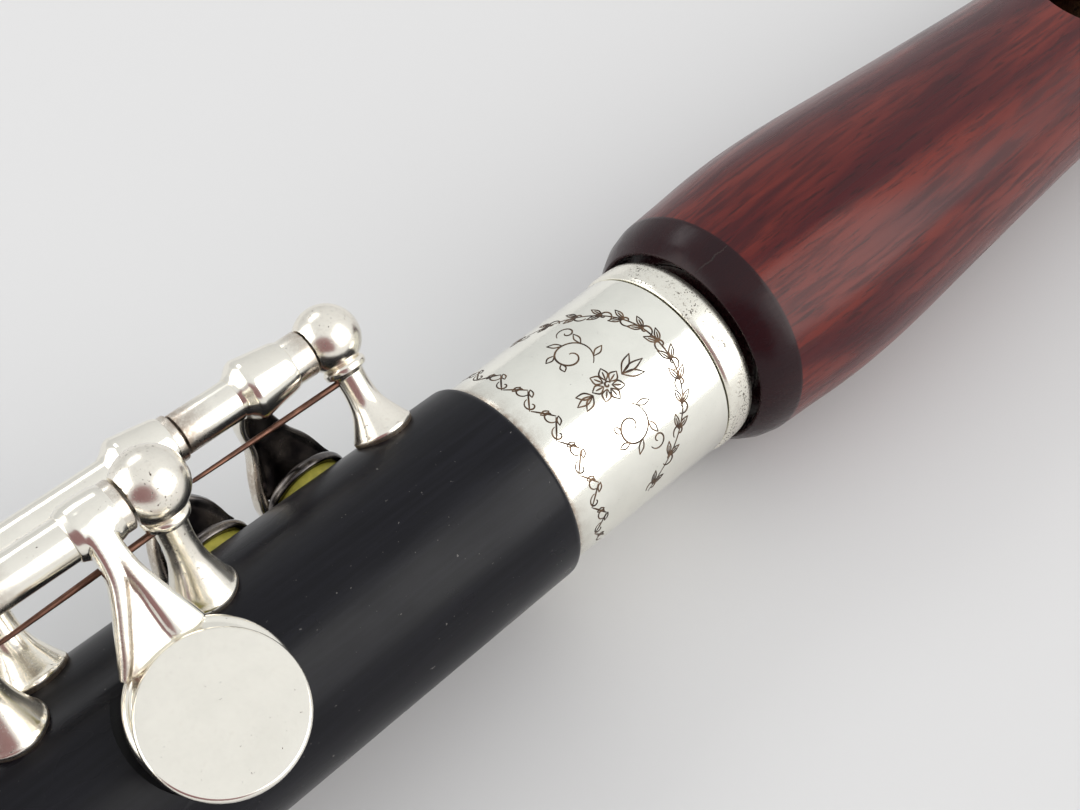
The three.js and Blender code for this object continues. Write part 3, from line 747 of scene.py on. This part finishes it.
def rosette(x, v):
    """Petals round a bud."""
    strokes = []
    petals = 7
    for k in range(petals):
        turn = 2 * math.pi * k / petals + 0.3
        root = (x + 0.32 * math.cos(turn), v + 0.32 * math.sin(turn))
        strokes += leaf(root, turn, 1.05, 0.34, 0.13, rib=True)
    return strokes + [(spiral((x, v), 0, 1.0, 0.3, 1, 30), 0.16)]


def scrolls(x, v):
    """A leafy scroll with a curled tail on each side of the rosette."""
    strokes = []
    for side in (1, -1):
        scroll = spiral((x - 0.35, v + side * 3.5), -side * 1.1, 1.35, 1.75, side, 70)
        tail = spiral((x + 1.3, v + side * 5.6), side * 2.9, 1.1, 0.8, -side, 40)
        strokes += [(scroll, 0.15), (tail, 0.13)]
        for at, size in ((3, 1.2), (11, 1.3), (19, 1.2), (27, 1.0), (35, 0.8)):
            run = scroll[at + 1] - scroll[at]
            lean = math.atan2(run[1], run[0]) - side * 0.75
            strokes += leaf(scroll[at], lean, size, 0.22, 0.12)
    return strokes


def sprays(x, v):
    """Three pointed leaves before and behind the rosette."""
    strokes = []
    for heading, size in ((math.pi, 1.6), (0.0, 2.2)):
        root = (x + 1.45 * math.cos(heading), v)
        for lean in (-0.5, 0, 0.5):
            strokes += leaf(root, heading + lean, size * (1 - 0.3 * abs(lean)), 0.26, 0.13)
    return strokes


def arch(v):
    """A bowed stem with scrolls and leaves over the whole ornament."""
    crest, drop, half = 13.2, 5.6, 9.4
    strokes = []
    for k, t in enumerate(np.linspace(-1, 1, 13)):
        at = (crest - drop * abs(t) ** 2.2, v + half * t)
        lean = math.atan2(half, -12.3 * abs(t) ** 1.2 * np.sign(t))
        strokes.append((spiral(at, lean + 2.6, 0.95, 0.62, 1 if k % 2 else -1, 34), 0.15))
        for offset in (0.55, -0.55):
            strokes += leaf((at[0], at[1] + 0.2), lean + offset, 1.25, 0.2, 0.12, rib=True)
    stem = [(crest - drop * abs(t) ** 2.2, v + half * t) for t in np.linspace(-1.03, 1.03, 9)]
    return strokes + [(smoothed(stem, 90), 0.13)]


def build_engraving():
    """A generic foliate ornament: lines of (points, width) laid on the barrel."""
    middle = (7.6, 1.2)
    strokes = vine() + rosette(*middle) + scrolls(*middle) + sprays(*middle) + arch(middle[1])
    shapes = [stroke(points, width, barrel_surface) for points, width in strokes]
    piece("barrel_engraving", sum(shapes[1:], shapes[0]), ENGRAVING, "body", (), 0)


def head_surface(station):
    return float(np.interp(station, [19.25, 20.05, 21, 22.2, 23], [8.66, 9.3, 9.82, 10.16, 10.22]))


def build_crack():
    """A hairline drying crack across the chamfer of the head joint."""
    path = [(19.35, 0.25), (20.1, 0.1), (20.7, -0.1), (21.2, -0.02), (21.7, -0.16), (22.3, -0.12)]
    line = smoothed(path, 26)
    line[:, 1] += 0.03 * np.sin(np.arange(len(line)) * 2.3)
    shape = stroke(line, 0.13, head_surface, 0.015)
    turn = Matrix.Rotation(math.radians(-CRACK_ANGLE), 4, "X")
    piece("chamfer_crack", shape.moved(turn), CRACK, "head", (), 0)


# ---- posts, rods and springs


def build_post(name, line, station, bore, clear):
    """A turned post whose ball is bored for the rod and faced flat on the sides listed in clear."""
    tall = line["reach"]
    foot = body_radius(station)
    ball = tall - foot
    under = ball - BALL
    wide = 2.3 if tall > 15 else 1.75
    neck = 1.36
    profile = [
        (0, -0.6), (wide - 0.3, -0.5), (wide - 0.02, 0.06, 0.08), (wide, 0.3, 0.15), (wide - 0.18, 0.55, 0.2),
        (0.7 * wide, 0.2 * under + 0.45, 0.5), (1.22, 0.45 * under, 0.6), (1.06, 0.68 * under, 0.5),
        (1.12, under - 0.4, 0.2), (1.54, under - 0.26, 0.1), (1.64, under + 0.15, 0.12),
        (1.5, under + 0.38, 0.08), (neck, under + 0.42),
    ]
    sweep = math.pi - math.asin(neck / BALL)
    steps = 26
    for k in range(1, steps + 1):
        turn = sweep - sweep * k / steps
        profile.append((BALL * math.sin(turn), ball + BALL * math.cos(turn)))
    shape = lathe(filleted(profile), 64, outward(station, line["angle"], foot))
    face, past = 1.8, 4
    cutters = [lathe(drum(bore, -past, past), 32, on_line(line, station))]
    for side in clear:
        low, high = sorted((side * face, side * past))
        cutters.append(lathe(drum(BALL - 0.1, low, high), 40, on_line(line, station)))
    shape = cut(shape, cutters)
    shape = shape.stained(polar(station, line["angle"], foot + 0.1), 1.0, 0.95)
    shape = shape.stained(polar(station, line["angle"], tall - BALL - 0.3), 1.35, 0.4)
    from_axis = np.linalg.norm(shape.verts[:, 1:], axis=1)
    shape.stain_and_shade = np.maximum(shape.stain_and_shade, np.where(from_axis < foot + 0.32, 0.8, 0))
    for side in clear:
        shape = shape.stained(axle(line, station + side * face), 1.7, 0.7)
    piece(name + "_turned", shape, POST_SILVER, "body", [name], 40)


def build_posts():
    for line_name, line in LINES.items():
        last = len(line["posts"]) - 1
        for k, station in enumerate(line["posts"]):
            carries_tube = line_name == "upper" and k == 1
            clear = [side for side, end in ((-1, last), (1, 0)) if k != end]
            bore = TUBE + 0.12 if carries_tube else 0.98
            build_post(f"post_{line_name}_{k + 1}", line, station, bore, clear)


def build_rods():
    """The hinge rods, with a slotted end towards the head."""
    for name, line in LINES.items():
        top, foot = line["posts"][0] + 1.5, line["posts"][-1] - 1.5
        rod = [(0, foot), (0.75, foot, 0.1), (0.9, foot + 0.3), (0.9, top - 0.12, 0.1), (0.8, top), (0, top)]
        shape = lathe(filleted(rod), 40, on_line(line))
        half, width = 0.5, 0.11
        slot = slab([(-half, -width), (half, -width), (half, width), (-half, width)], -1.2, 1.2)
        shape = cut(shape, [slot.moved(Matrix.Translation(axle(line, top)))])
        node = "steel_" + {"upper": "trill"}.get(name, name)
        rider = "dsharp_trill" if name == "upper" else "body"
        piece(node + "_rod", shape, STEEL, rider, [node])


def build_spring(name, start, end, nodes=()):
    """A needle spring, thick at its post and pointed at its key."""
    z = (end - start).normalized()
    x = z.cross(Vector((0, 0, 1))).normalized()
    length = (end - start).length
    profile = [
        (0, -0.7), (0.23, -0.7, 0.03), (0.225, length * 0.4), (0.16, length * 0.93), (0.05, length),
        (0, length),
    ]
    shape = lathe(filleted(profile), 16, basis(x, z.cross(x), z, start))
    sag = np.linalg.norm(shape.verts - np.array(start), axis=1) / length
    shape.verts[:, 2] -= 0.22 * np.sin(math.pi * sag)
    piece(name, shape, BLUED, "body", nodes, 60)


def build_springs():
    build_spring("needle_spring_trill", polar(-7.4, 75.5, 13.0), polar(-20, 74, 13.1), ["spring_trill"])
    build_spring("needle_spring_csharp", polar(-24.8, 48, 14.4), polar(-35.4, 49, 13.9), ["spring_csharp"])
    hidden = [
        ("a", MAIN, -38.4, -47), ("g", MAIN, -92.1, -83), ("fsharp", MAIN, -94.9, -104),
        ("d", MAIN, -153.6, -144.5), ("d_trill", UPPER, -35.4, -45),
        ("dsharp_trill_touch", UPPER, -132.6, -123.5), ("gsharp", GSHARP, -104.2, -97),
        ("dsharp", DSHARP, -173.7, -166.5), ("thumb", THUMB, -42.3, -49.5),
        ("bflat_lever", THUMB, -67.6, -61.5),
    ]
    for short, line, start, end in hidden:
        low = line["reach"] - 2.75
        tip = polar(end, line["angle"] + 1.5, low + 0.15)
        build_spring("needle_spring_" + short, polar(start, line["angle"], low), tip)


# ---- keys


def key_tube(line, start, end, sleeves):
    """A hinge tube with rounded lips, and sleeves of (centre, half length, radius) brazed round it."""
    tube = [(TUBE_BORE, end), (TUBE, end, 0.06), (TUBE, start, 0.06), (TUBE_BORE, start)]
    shape = lathe(split_long(filleted(tube), 3), 48, on_line(line), closed=True)
    for centre, half, radius in sleeves:
        low, high = centre - half, centre + half
        sleeve = [(1.2, low), (radius, low, 0.12), (radius, high, 0.12), (1.2, high)]
        shape = shape + turned_ring(sleeve, 48, on_line(line))
    for edge in (start, end):
        near = np.clip(1 - np.abs(shape.verts[:, 0] - edge) / 0.35, 0, 1)
        shape.stain_and_shade = np.maximum(shape.stain_and_shade, 0.85 * near)
    return shape


def end_sleeves(start, end):
    return [(start - 0.5, *END_SLEEVE), (end + 0.5, *END_SLEEVE)]


def hub(station, line, radius):
    """The turned swelling where an arm leaves its tube: a short cone and a long one, meeting in a ridge."""
    profile = [
        (1.3, -1.6), (TUBE + 0.05, -1.6), (TUBE + 0.2, -1.3, 0.15), (radius - 0.12, -0.75, 0.2),
        (radius, -0.4, 0.12), (radius - 0.05, -0.05, 0.15), (TUBE + 0.42, 2.5, 0.3),
        (TUBE + 0.3, 2.85, 0.1), (1.3, 2.85),
    ]
    return lathe(filleted(profile, 5), 72, on_line(line, station), closed=True)


def cup_shape(seat):
    """A cup over its pad: a rounded wall with a bead, a shallow dome, and a flat finger plate on some."""
    wall, proud = seat["cup"], seat.get("proud", 0.6)
    top = proud + seat.get("tall", 1.7)
    inner = wall - 0.45
    profile = [
        (0, 1.65), (inner, 1.65), (inner, proud), (wall - 0.1, proud, 0.05), (wall, proud + 0.15, 0.08),
    ]
    where = pad_place(seat)
    if "plate" not in seat:
        profile += [
            (wall, top - 0.3, 0.35), (wall - 0.55, top + 0.12, 0.3), (wall - 1.5, top + 0.5, 0.5),
            (wall * 0.3, top + 0.72), (0, top + 0.75),
        ]
        return lathe(filleted(profile), 96, where)
    plate = seat["plate"]
    profile += [
        (wall, top - 0.4, 0.25), (wall - 0.3, top - 0.12, 0.18), (wall - 0.55, top - 0.2, 0.1),
        (wall - 0.8, top - 0.02, 0.15), (plate - 1.2, top + 0.3, 0.2), (plate - 1.5, top + 0.6),
        (0, top + 0.6),
    ]
    disc = [
        (0, top + 0.45), (plate - 0.2, top + 0.45, 0.12), (plate, top + 0.6, 0.12), (plate, top + 1.04, 0.12),
        (plate - 0.16, top + 1.2, 0.08), (plate * 0.5, top + 1.19), (0, top + 1.185),
    ]
    moved = where @ Matrix.Translation((*seat.get("shift", (0, 0)), 0))
    return lathe(filleted(profile), 96, where) + lathe(split_long(filleted(disc), 0.8), 112, moved)


def build_pad(name, seat, body, turn=Matrix.Identity(4)):
    """A pad: skin over felt, round at its edge, pressed by the rim of its hole."""
    radius = seat["cup"] - 0.52
    hole = seat["hole"] + 0.3
    profile = [
        (0, 0.07), (hole - 0.35, 0.08), (hole, 0.22), (hole + 0.35, 0.05), (radius - 0.5, 0.0),
        (radius - 0.14, 0.14), (radius - 0.03, 0.45), (radius, 0.8), (radius - 0.02, 1.5), (0, 1.5),
    ]
    where = pad_place(seat)
    rounded = filleted([(r, h, 0.1) for r, h in profile], 3)
    shape = lathe(split_long(rounded, 0.35), 72, where)
    relative = shape.verts - np.array(where.translation)
    angle = np.arctan2(relative[:, 0], relative @ np.array(where.col[1][:3]))
    ruffle = 0.02 * np.sin(9 * angle + 2.1) + 0.015 * np.sin(17 * angle + 0.6)
    edge = np.clip(np.linalg.norm(relative, axis=1) - radius * 0.7, 0, 1)
    shape.verts += np.outer(ruffle * edge, np.array(where.col[2][:3]))
    obj = piece(name + "_skin", shape.moved(turn), SKIN, body, [name], 60)


def build_silver(name, shape, body, node):
    piece(name + "_silver", shape, KEY_SILVER, body, [node])


def plate_rows(rows):
    """Turns (along, across, above the plate, half width, thickness) into a limb's rows."""
    turn = math.radians(TOP_ANGLE)
    out = []
    for x, t, above, half, thick in rows:
        y = t * math.cos(turn) + (PLATE_TOP + above) * math.sin(turn)
        z = -t * math.sin(turn) + (PLATE_TOP + above) * math.cos(turn)
        out.append((x, y, z, half, thick))
    return out


def y_arm():
    """The forked arm of a top key, round a cup centred on station 0, in its closed place."""
    left = plate_rows([
        (-0.15, 13.7, 1.2, 0.95, 2.1), (-0.22, 11.9, 0.85, 0.66, 1.9), (-0.5, 10.0, 0.4, 0.58, 1.7),
        (-1.15, 8.6, 0.0, 0.5, 1.6), (-1.85, 7.4, -0.4, 0.44, 1.5), (-2.6, 6.1, -0.9, 0.38, 1.35),
        (-3.3, 5.1, -1.4, 0.24, 0.9),
    ])
    right = plate_rows([
        (0.75, 13.7, 1.1, 0.6, 2.0), (0.45, 11.9, 0.8, 0.56, 1.8), (0.48, 10.0, 0.4, 0.6, 1.65),
        (0.72, 8.6, 0.02, 0.72, 1.5), (0.92, 7.4, -0.38, 0.9, 1.4), (1.15, 6.2, -0.88, 1.1, 1.3),
        (1.35, 5.3, -1.3, 1.2, 1.0),
    ])
    web = plate_rows([
        (0.0, 10.1, 0.16, 0.5, 1.3), (-0.3, 8.6, -0.26, 0.95, 1.4), (-0.7, 7.2, -0.78, 1.5, 1.3),
        (-1.0, 5.9, -1.28, 1.9, 1.2), (-1.0, 5.1, -1.52, 2.1, 1.0),
    ])
    shape = limb(left, power=3, samples=36) + limb(right, power=3.4, samples=36) + limb(web, power=5)
    swell = [(0, -1.5), (1.6, -1.5), (1.86, -0.9), (1.92, 0), (1.86, 1.2), (1.6, 1.9), (0, 1.9)]
    return welded(shape + lathe(swell, 32, on_line(MAIN, 0.1)), 0.09, 5)


def build_top_keys():
    arm = y_arm()
    x, t = arm.verts[:, 0], arm.verts[:, 1]
    from_rod = np.hypot(t - axle(MAIN).y, arm.verts[:, 2] - axle(MAIN).z)
    # Painted shade: the Y-arm is browned along the crease between its legs and over the web, through its
    # stain value.
    crease = 0.4 - np.clip(9.6 - t, 0, 5) * 0.66
    shade = np.where(t < 9.9, np.clip(0.62 - np.abs(x - crease) * 0.55, 0, 0.5), 0)
    arm.stain_and_shade = (from_rod > 1.9) * shade
    keys = [
        ("csharp", -25.35, -35), ("bflat", -39, -67), ("a", -67.3, -79.5), ("g", -79.8, -91.5),
        ("fsharp", -95.5, -113), ("f", -113.3, -127), ("e", -127.3, -141), ("d", -141.3, -153),
    ]
    rest = turning(MAIN, -7.5)
    for short, start, end in keys:
        seat = SEATS[short]
        drop = 0.6 * (body_radius(seat["station"]) - BODY_RADIUS)
        placed = arm.moved(Matrix.Translation((seat["station"], 0, drop)))
        sleeves = [(start - 0.85, 0.8, 1.72)] if short == "csharp" else end_sleeves(start, end)
        shape = cup_shape(seat) + placed + key_tube(MAIN, start, end, sleeves)
        name = short + "_key"
        build_silver(name, shape.moved(rest), name, name)
        build_pad(short + "_pad", seat, name, rest)


def trill_blade(hub_station, station):
    """The broad dark face of a trill arm, from the upper tube down over the near side of its cup, drawn in
    dark metal as painted reflection of the dark body and painted shade.
    """
    between = (hub_station + station) / 2 - 0.1
    return limb([
        (hub_station, 15.6, 2.6, 0.7, 1.1), (hub_station, 15.1, 1.2, 0.8, 1.1),
        (hub_station, 14.0, -0.4, 1.15, 1.1), (between, 12.4, -2.0, 1.75, 1.1),
        (station - 0.1, 10.9, -3.1, 2.5, 1.1), (station, 9.6, -3.8, 3.1, 1.1),
    ], power=5)


def trill_edge(hub_station, station):
    """The bright edge of a trill arm, in plain key silver beside its face painted dark."""
    edge = limb([
        (hub_station - 0.3, 15.7, 3.2, 0.7, 1.2), (hub_station - 0.75, 15.4, 1.2, 0.34, 1.4),
        (hub_station - 1.35, 14.3, -0.4, 0.32, 1.4), (station - 2.1, 12.7, -2.0, 0.34, 1.5),
        (station - 2.8, 10.9, -3.2, 0.38, 1.6), (station - 3.2, 9.3, -4.1, 0.5, 1.7),
        (station - 3.2, 8.6, -4.5, 0.5, 1.5),
    ], power=2.4)
    return edge.stained((station - 2.8, 10.8, -3), 3.6, 0.7)


def bent_arm(station, *stretches):
    """An arm at one station: points, each with rows (across, up, half width, thickness) from it."""
    rows = []
    for point, offsets in stretches:
        rows += [(station, point.y + across, point.z + up, *size) for across, up, *size in offsets]
    return limb(rows, power=3.2, samples=34, sides=24)


def trill_touch(station):
    return bent_arm(station, (Vector((0, 0, 0)), [
        (15.9, 4.9, 1.2, 1.2), (17.2, 8.2, 1.1, 1.1), (16.8, 12.4, 1.1, 1.1),
        (13.8, 15.2, 1.2, 1.1), (9.8, 15.9, 1.5, 1.1), (6.6, 15.35, 1.2, 0.9),
    ]))


def build_trill_keys():
    short, long = SEATS["dsharp_trill"], SEATS["d_trill"]
    short_hub, long_hub = -12.2, -21.6
    shape = key_tube(UPPER, -7.95, -18.4, [(-8.8, 0.85, 1.72)]) + hub(short_hub - 0.2, UPPER, 2.34)
    shape = shape + trill_edge(short_hub, short["station"])
    build_silver("dsharp_trill_key", shape, "dsharp_trill", "dsharp_trill_key")
    sleeves = [(-19.3, 0.7, 1.7), (-119.5, *END_SLEEVE)]
    shape = key_tube(UPPER, -18.6, -120, sleeves) + hub(long_hub - 0.4, UPPER, 2.34)
    shape = shape + trill_edge(long_hub, long["station"]) + trill_touch(-114.4)
    build_silver("d_trill_key", shape, "d_trill", "d_trill_key")
    # Painted reflection and shade: the trill arms' faces and cups are drawn in dark metal.
    for body, seat, hub_station in (("dsharp_trill", short, short_hub), ("d_trill", long, long_hub)):
        dark = trill_blade(hub_station, seat["station"]) + cup_shape(seat)
        piece(body + "_painted_dark_cup", dark, DARK_PAINTED_SILVER, body, ())
    shape = key_tube(UPPER, -120.2, -132, end_sleeves(-120.2, -132)) + trill_touch(-128)
    build_silver("dsharp_touch", shape, "dsharp_trill", "dsharp_trill_touch")
    build_pad("dsharp_trill_pad", short, "dsharp_trill")
    build_pad("d_trill_pad", long, "d_trill")


def build_side_key(short, line, start, end, touch_station):
    """A key on a low rod beside the tube: its cup on one side of the rod, its touch on the other."""
    seat = SEATS[short]
    rod = axle(line)
    cup = polar(0, seat["angle"], body_radius(seat["station"]) + 1.4)
    to_cup = bent_arm(
        seat["station"],
        (rod, [(-0.6, -0.6, 1.3, 1.2), (-1.9, -2.4, 1.4, 1.2)]),
        (cup, [(-1.3, 3.2, 2.2, 1.1), (-0.4, 1.2, 2.4, 1.1)]),
    )
    touch = bent_arm(touch_station, (rod, [
        (0.2, 0.7, 1.3, 1.2), (1.5, 2.4, 1.5, 1.2), (3.6, 3.5, 2.8, 1.1), (6.4, 3.2, 2.6, 1.0),
    ]))
    sleeves = end_sleeves(start, end) + [(seat["station"], *ARM_SLEEVE), (touch_station, *ARM_SLEEVE)]
    shape = key_tube(line, start, end, sleeves) + to_cup + touch + cup_shape(seat)
    name = short + "_key"
    build_silver(name, shape, name, name)
    build_pad(short + "_pad", seat, name)


def build_thumb_keys():
    seat = SEATS["thumb_b"]
    rod = axle(THUMB)
    cup = polar(0, seat["angle"], body_radius(seat["station"]) + 1.2)
    to_cup = bent_arm(
        seat["station"],
        (rod, [(0.2, -0.9, 1.3, 1.2), (-0.8, -2.6, 1.4, 1.2)]),
        (cup, [(2.6, 0.6, 2.4, 1.1), (0.6, -0.4, 2.6, 1.1)]),
    )
    rest = turning(THUMB, 11)
    sleeves = end_sleeves(-43, -58.6) + [(seat["station"], *ARM_SLEEVE)]
    shape = key_tube(THUMB, -43, -58.6, sleeves) + to_cup + cup_shape(seat)
    build_silver("thumb_b_key", shape.moved(rest), "thumb_b_key", "thumb_b_key")
    build_pad("thumb_b_pad", seat, "thumb_b_key", rest)
    touch_station = -63
    touch = bent_arm(touch_station, (rod, [
        (0.2, -0.9, 1.3, 1.2), (-0.6, -2.8, 1.5, 1.2), (-3.4, -4.6, 2.6, 1.1), (-6.4, -6.1, 2.4, 1.0),
    ]))
    sleeves = end_sleeves(-58.8, -67) + [(touch_station, *ARM_SLEEVE)]
    shape = key_tube(THUMB, -58.8, -67, sleeves) + touch
    build_silver("bflat_lever", shape, "bflat_lever", "bflat_thumb_lever")


# ---- stage


def build_stage():
    half, gap = 3, 0.0001
    corners = [(-half, -half, 0), (half, -half, 0), (half, half, 0), (-half, half, 0)]
    mesh = bpy.data.meshes.new("floor")
    mesh.from_pydata(corners, [], [(0, 1, 2, 3)])
    floor = added("floor", mesh)
    floor.location.z = -gap
    finish = Finish("pale_floor", (0.665, 0.667, 0.67), 0.0, 0.9)
    finish.shader.inputs["Specular IOR Level"].default_value = 0.1
    mesh.materials.append(finish.material)


def facing(tree, direction, low, high, out_low=0.0, out_high=1.0):
    """Nodes that say how nearly a ray points in a direction, brought between two levels."""
    new, link = tree.nodes.new, tree.links.new
    coords = new("ShaderNodeTexCoord")
    dot = new("ShaderNodeVectorMath")
    dot.operation = "DOT_PRODUCT"
    dot.inputs[1].default_value = direction
    link(coords.outputs["Generated"], dot.inputs[0])
    level = new("ShaderNodeMapRange")
    for key, value in (("From Min", low), ("From Max", high), ("To Min", out_low), ("To Max", out_high)):
        level.inputs[key].default_value = value
    link(dot.outputs["Value"], level.inputs["Value"])
    return level.outputs["Result"]


def build_world():
    """A pale surround, dusky low on the photographer's side. The camera itself sees a plain backdrop."""
    world = bpy.data.worlds.new("studio")
    bpy.context.scene.world = world
    world.use_nodes = True
    tree = world.node_tree
    new, link = tree.nodes.new, tree.links.new
    azimuth, rise = math.radians(225), math.radians(16)
    across = math.cos(rise)
    patch = (math.cos(azimuth) * across, math.sin(azimuth) * across, math.sin(rise))
    mix = new("ShaderNodeMix")
    mix.data_type = "RGBA"
    mix.inputs["A"].default_value = (0.86, 0.87, 0.88, 1)
    mix.inputs["B"].default_value = (0.30, 0.17, 0.175, 1)
    dusk = facing(tree, patch, math.cos(math.radians(40)), math.cos(math.radians(29)))
    link(dusk, mix.inputs["Factor"])
    surround = tree.nodes["Background"]
    link(mix.outputs["Result"], surround.inputs["Color"])
    link(facing(tree, (0.35, -0.60, 0.72), -0.4, 0.9, 0.76, 1.0), surround.inputs["Strength"])
    backdrop = new("ShaderNodeBackground")
    backdrop.inputs["Color"].default_value = (0.70, 0.70, 0.705, 1)
    path = new("ShaderNodeLightPath")
    choice = new("ShaderNodeMixShader")
    link(path.outputs["Is Camera Ray"], choice.inputs["Fac"])
    link(surround.outputs["Background"], choice.inputs[1])
    link(backdrop.outputs["Background"], choice.inputs[2])
    link(choice.outputs["Shader"], tree.nodes["World Output"].inputs["Surface"])


def soft_light(name, place, target, size, power, colour=(1, 1, 1)):
    data = bpy.data.lights.new(name, "AREA")
    data.shape = "RECTANGLE"
    data.size, data.size_y = size
    data.energy = power
    data.color = colour
    data.spread = math.radians(115)
    lamp = added(name, data)
    lamp.location = place
    lamp.rotation_euler = (Vector(target) - Vector(place)).to_track_quat("-Z", "Y").to_euler()


def build_camera():
    forward = (FRAME.to_3x3() @ Vector((0.45025, 0, -0.8929))).normalized()
    camera = added("camera", bpy.data.cameras.new("camera"))
    camera.location = FRAME @ Vector((-40.57, 2.94, 92.85))
    camera.rotation_euler = forward.to_track_quat("-Z", "Y").to_euler()
    camera.data.sensor_width = 36
    camera.data.lens = 45.37
    camera.data.clip_start = 0.002
    bpy.context.scene.camera = camera


build_camera()
build_stage()
build_world()
soft_light("key_light", (0.05, 1.0, 0.90), (0, 0, 0), (0.6, 0.3), 0.55)
soft_light("left_box", (-1.05, 0.60, 0.55), (-0.02, 0, 0.01), (1.30, 1.25), 4.2, (1, 0.99, 0.96))
soft_light("right_box", (0.65, -1.05, 0.675), (0.01, 0, 0.01), (1.25, 1.35), 6.2, (1, 0.99, 0.96))
bpy.context.scene.view_settings.view_transform = "Standard"

build_body()
build_barrel()
build_head()
build_stopper()
build_engraving()
build_crack()
build_posts()
build_rods()
build_springs()
build_top_keys()
build_trill_keys()
build_side_key("gsharp", GSHARP, -89.5, -103.5, -94.2)
build_side_key("dsharp", DSHARP, -159, -173, -161.5)
build_thumb_keys()
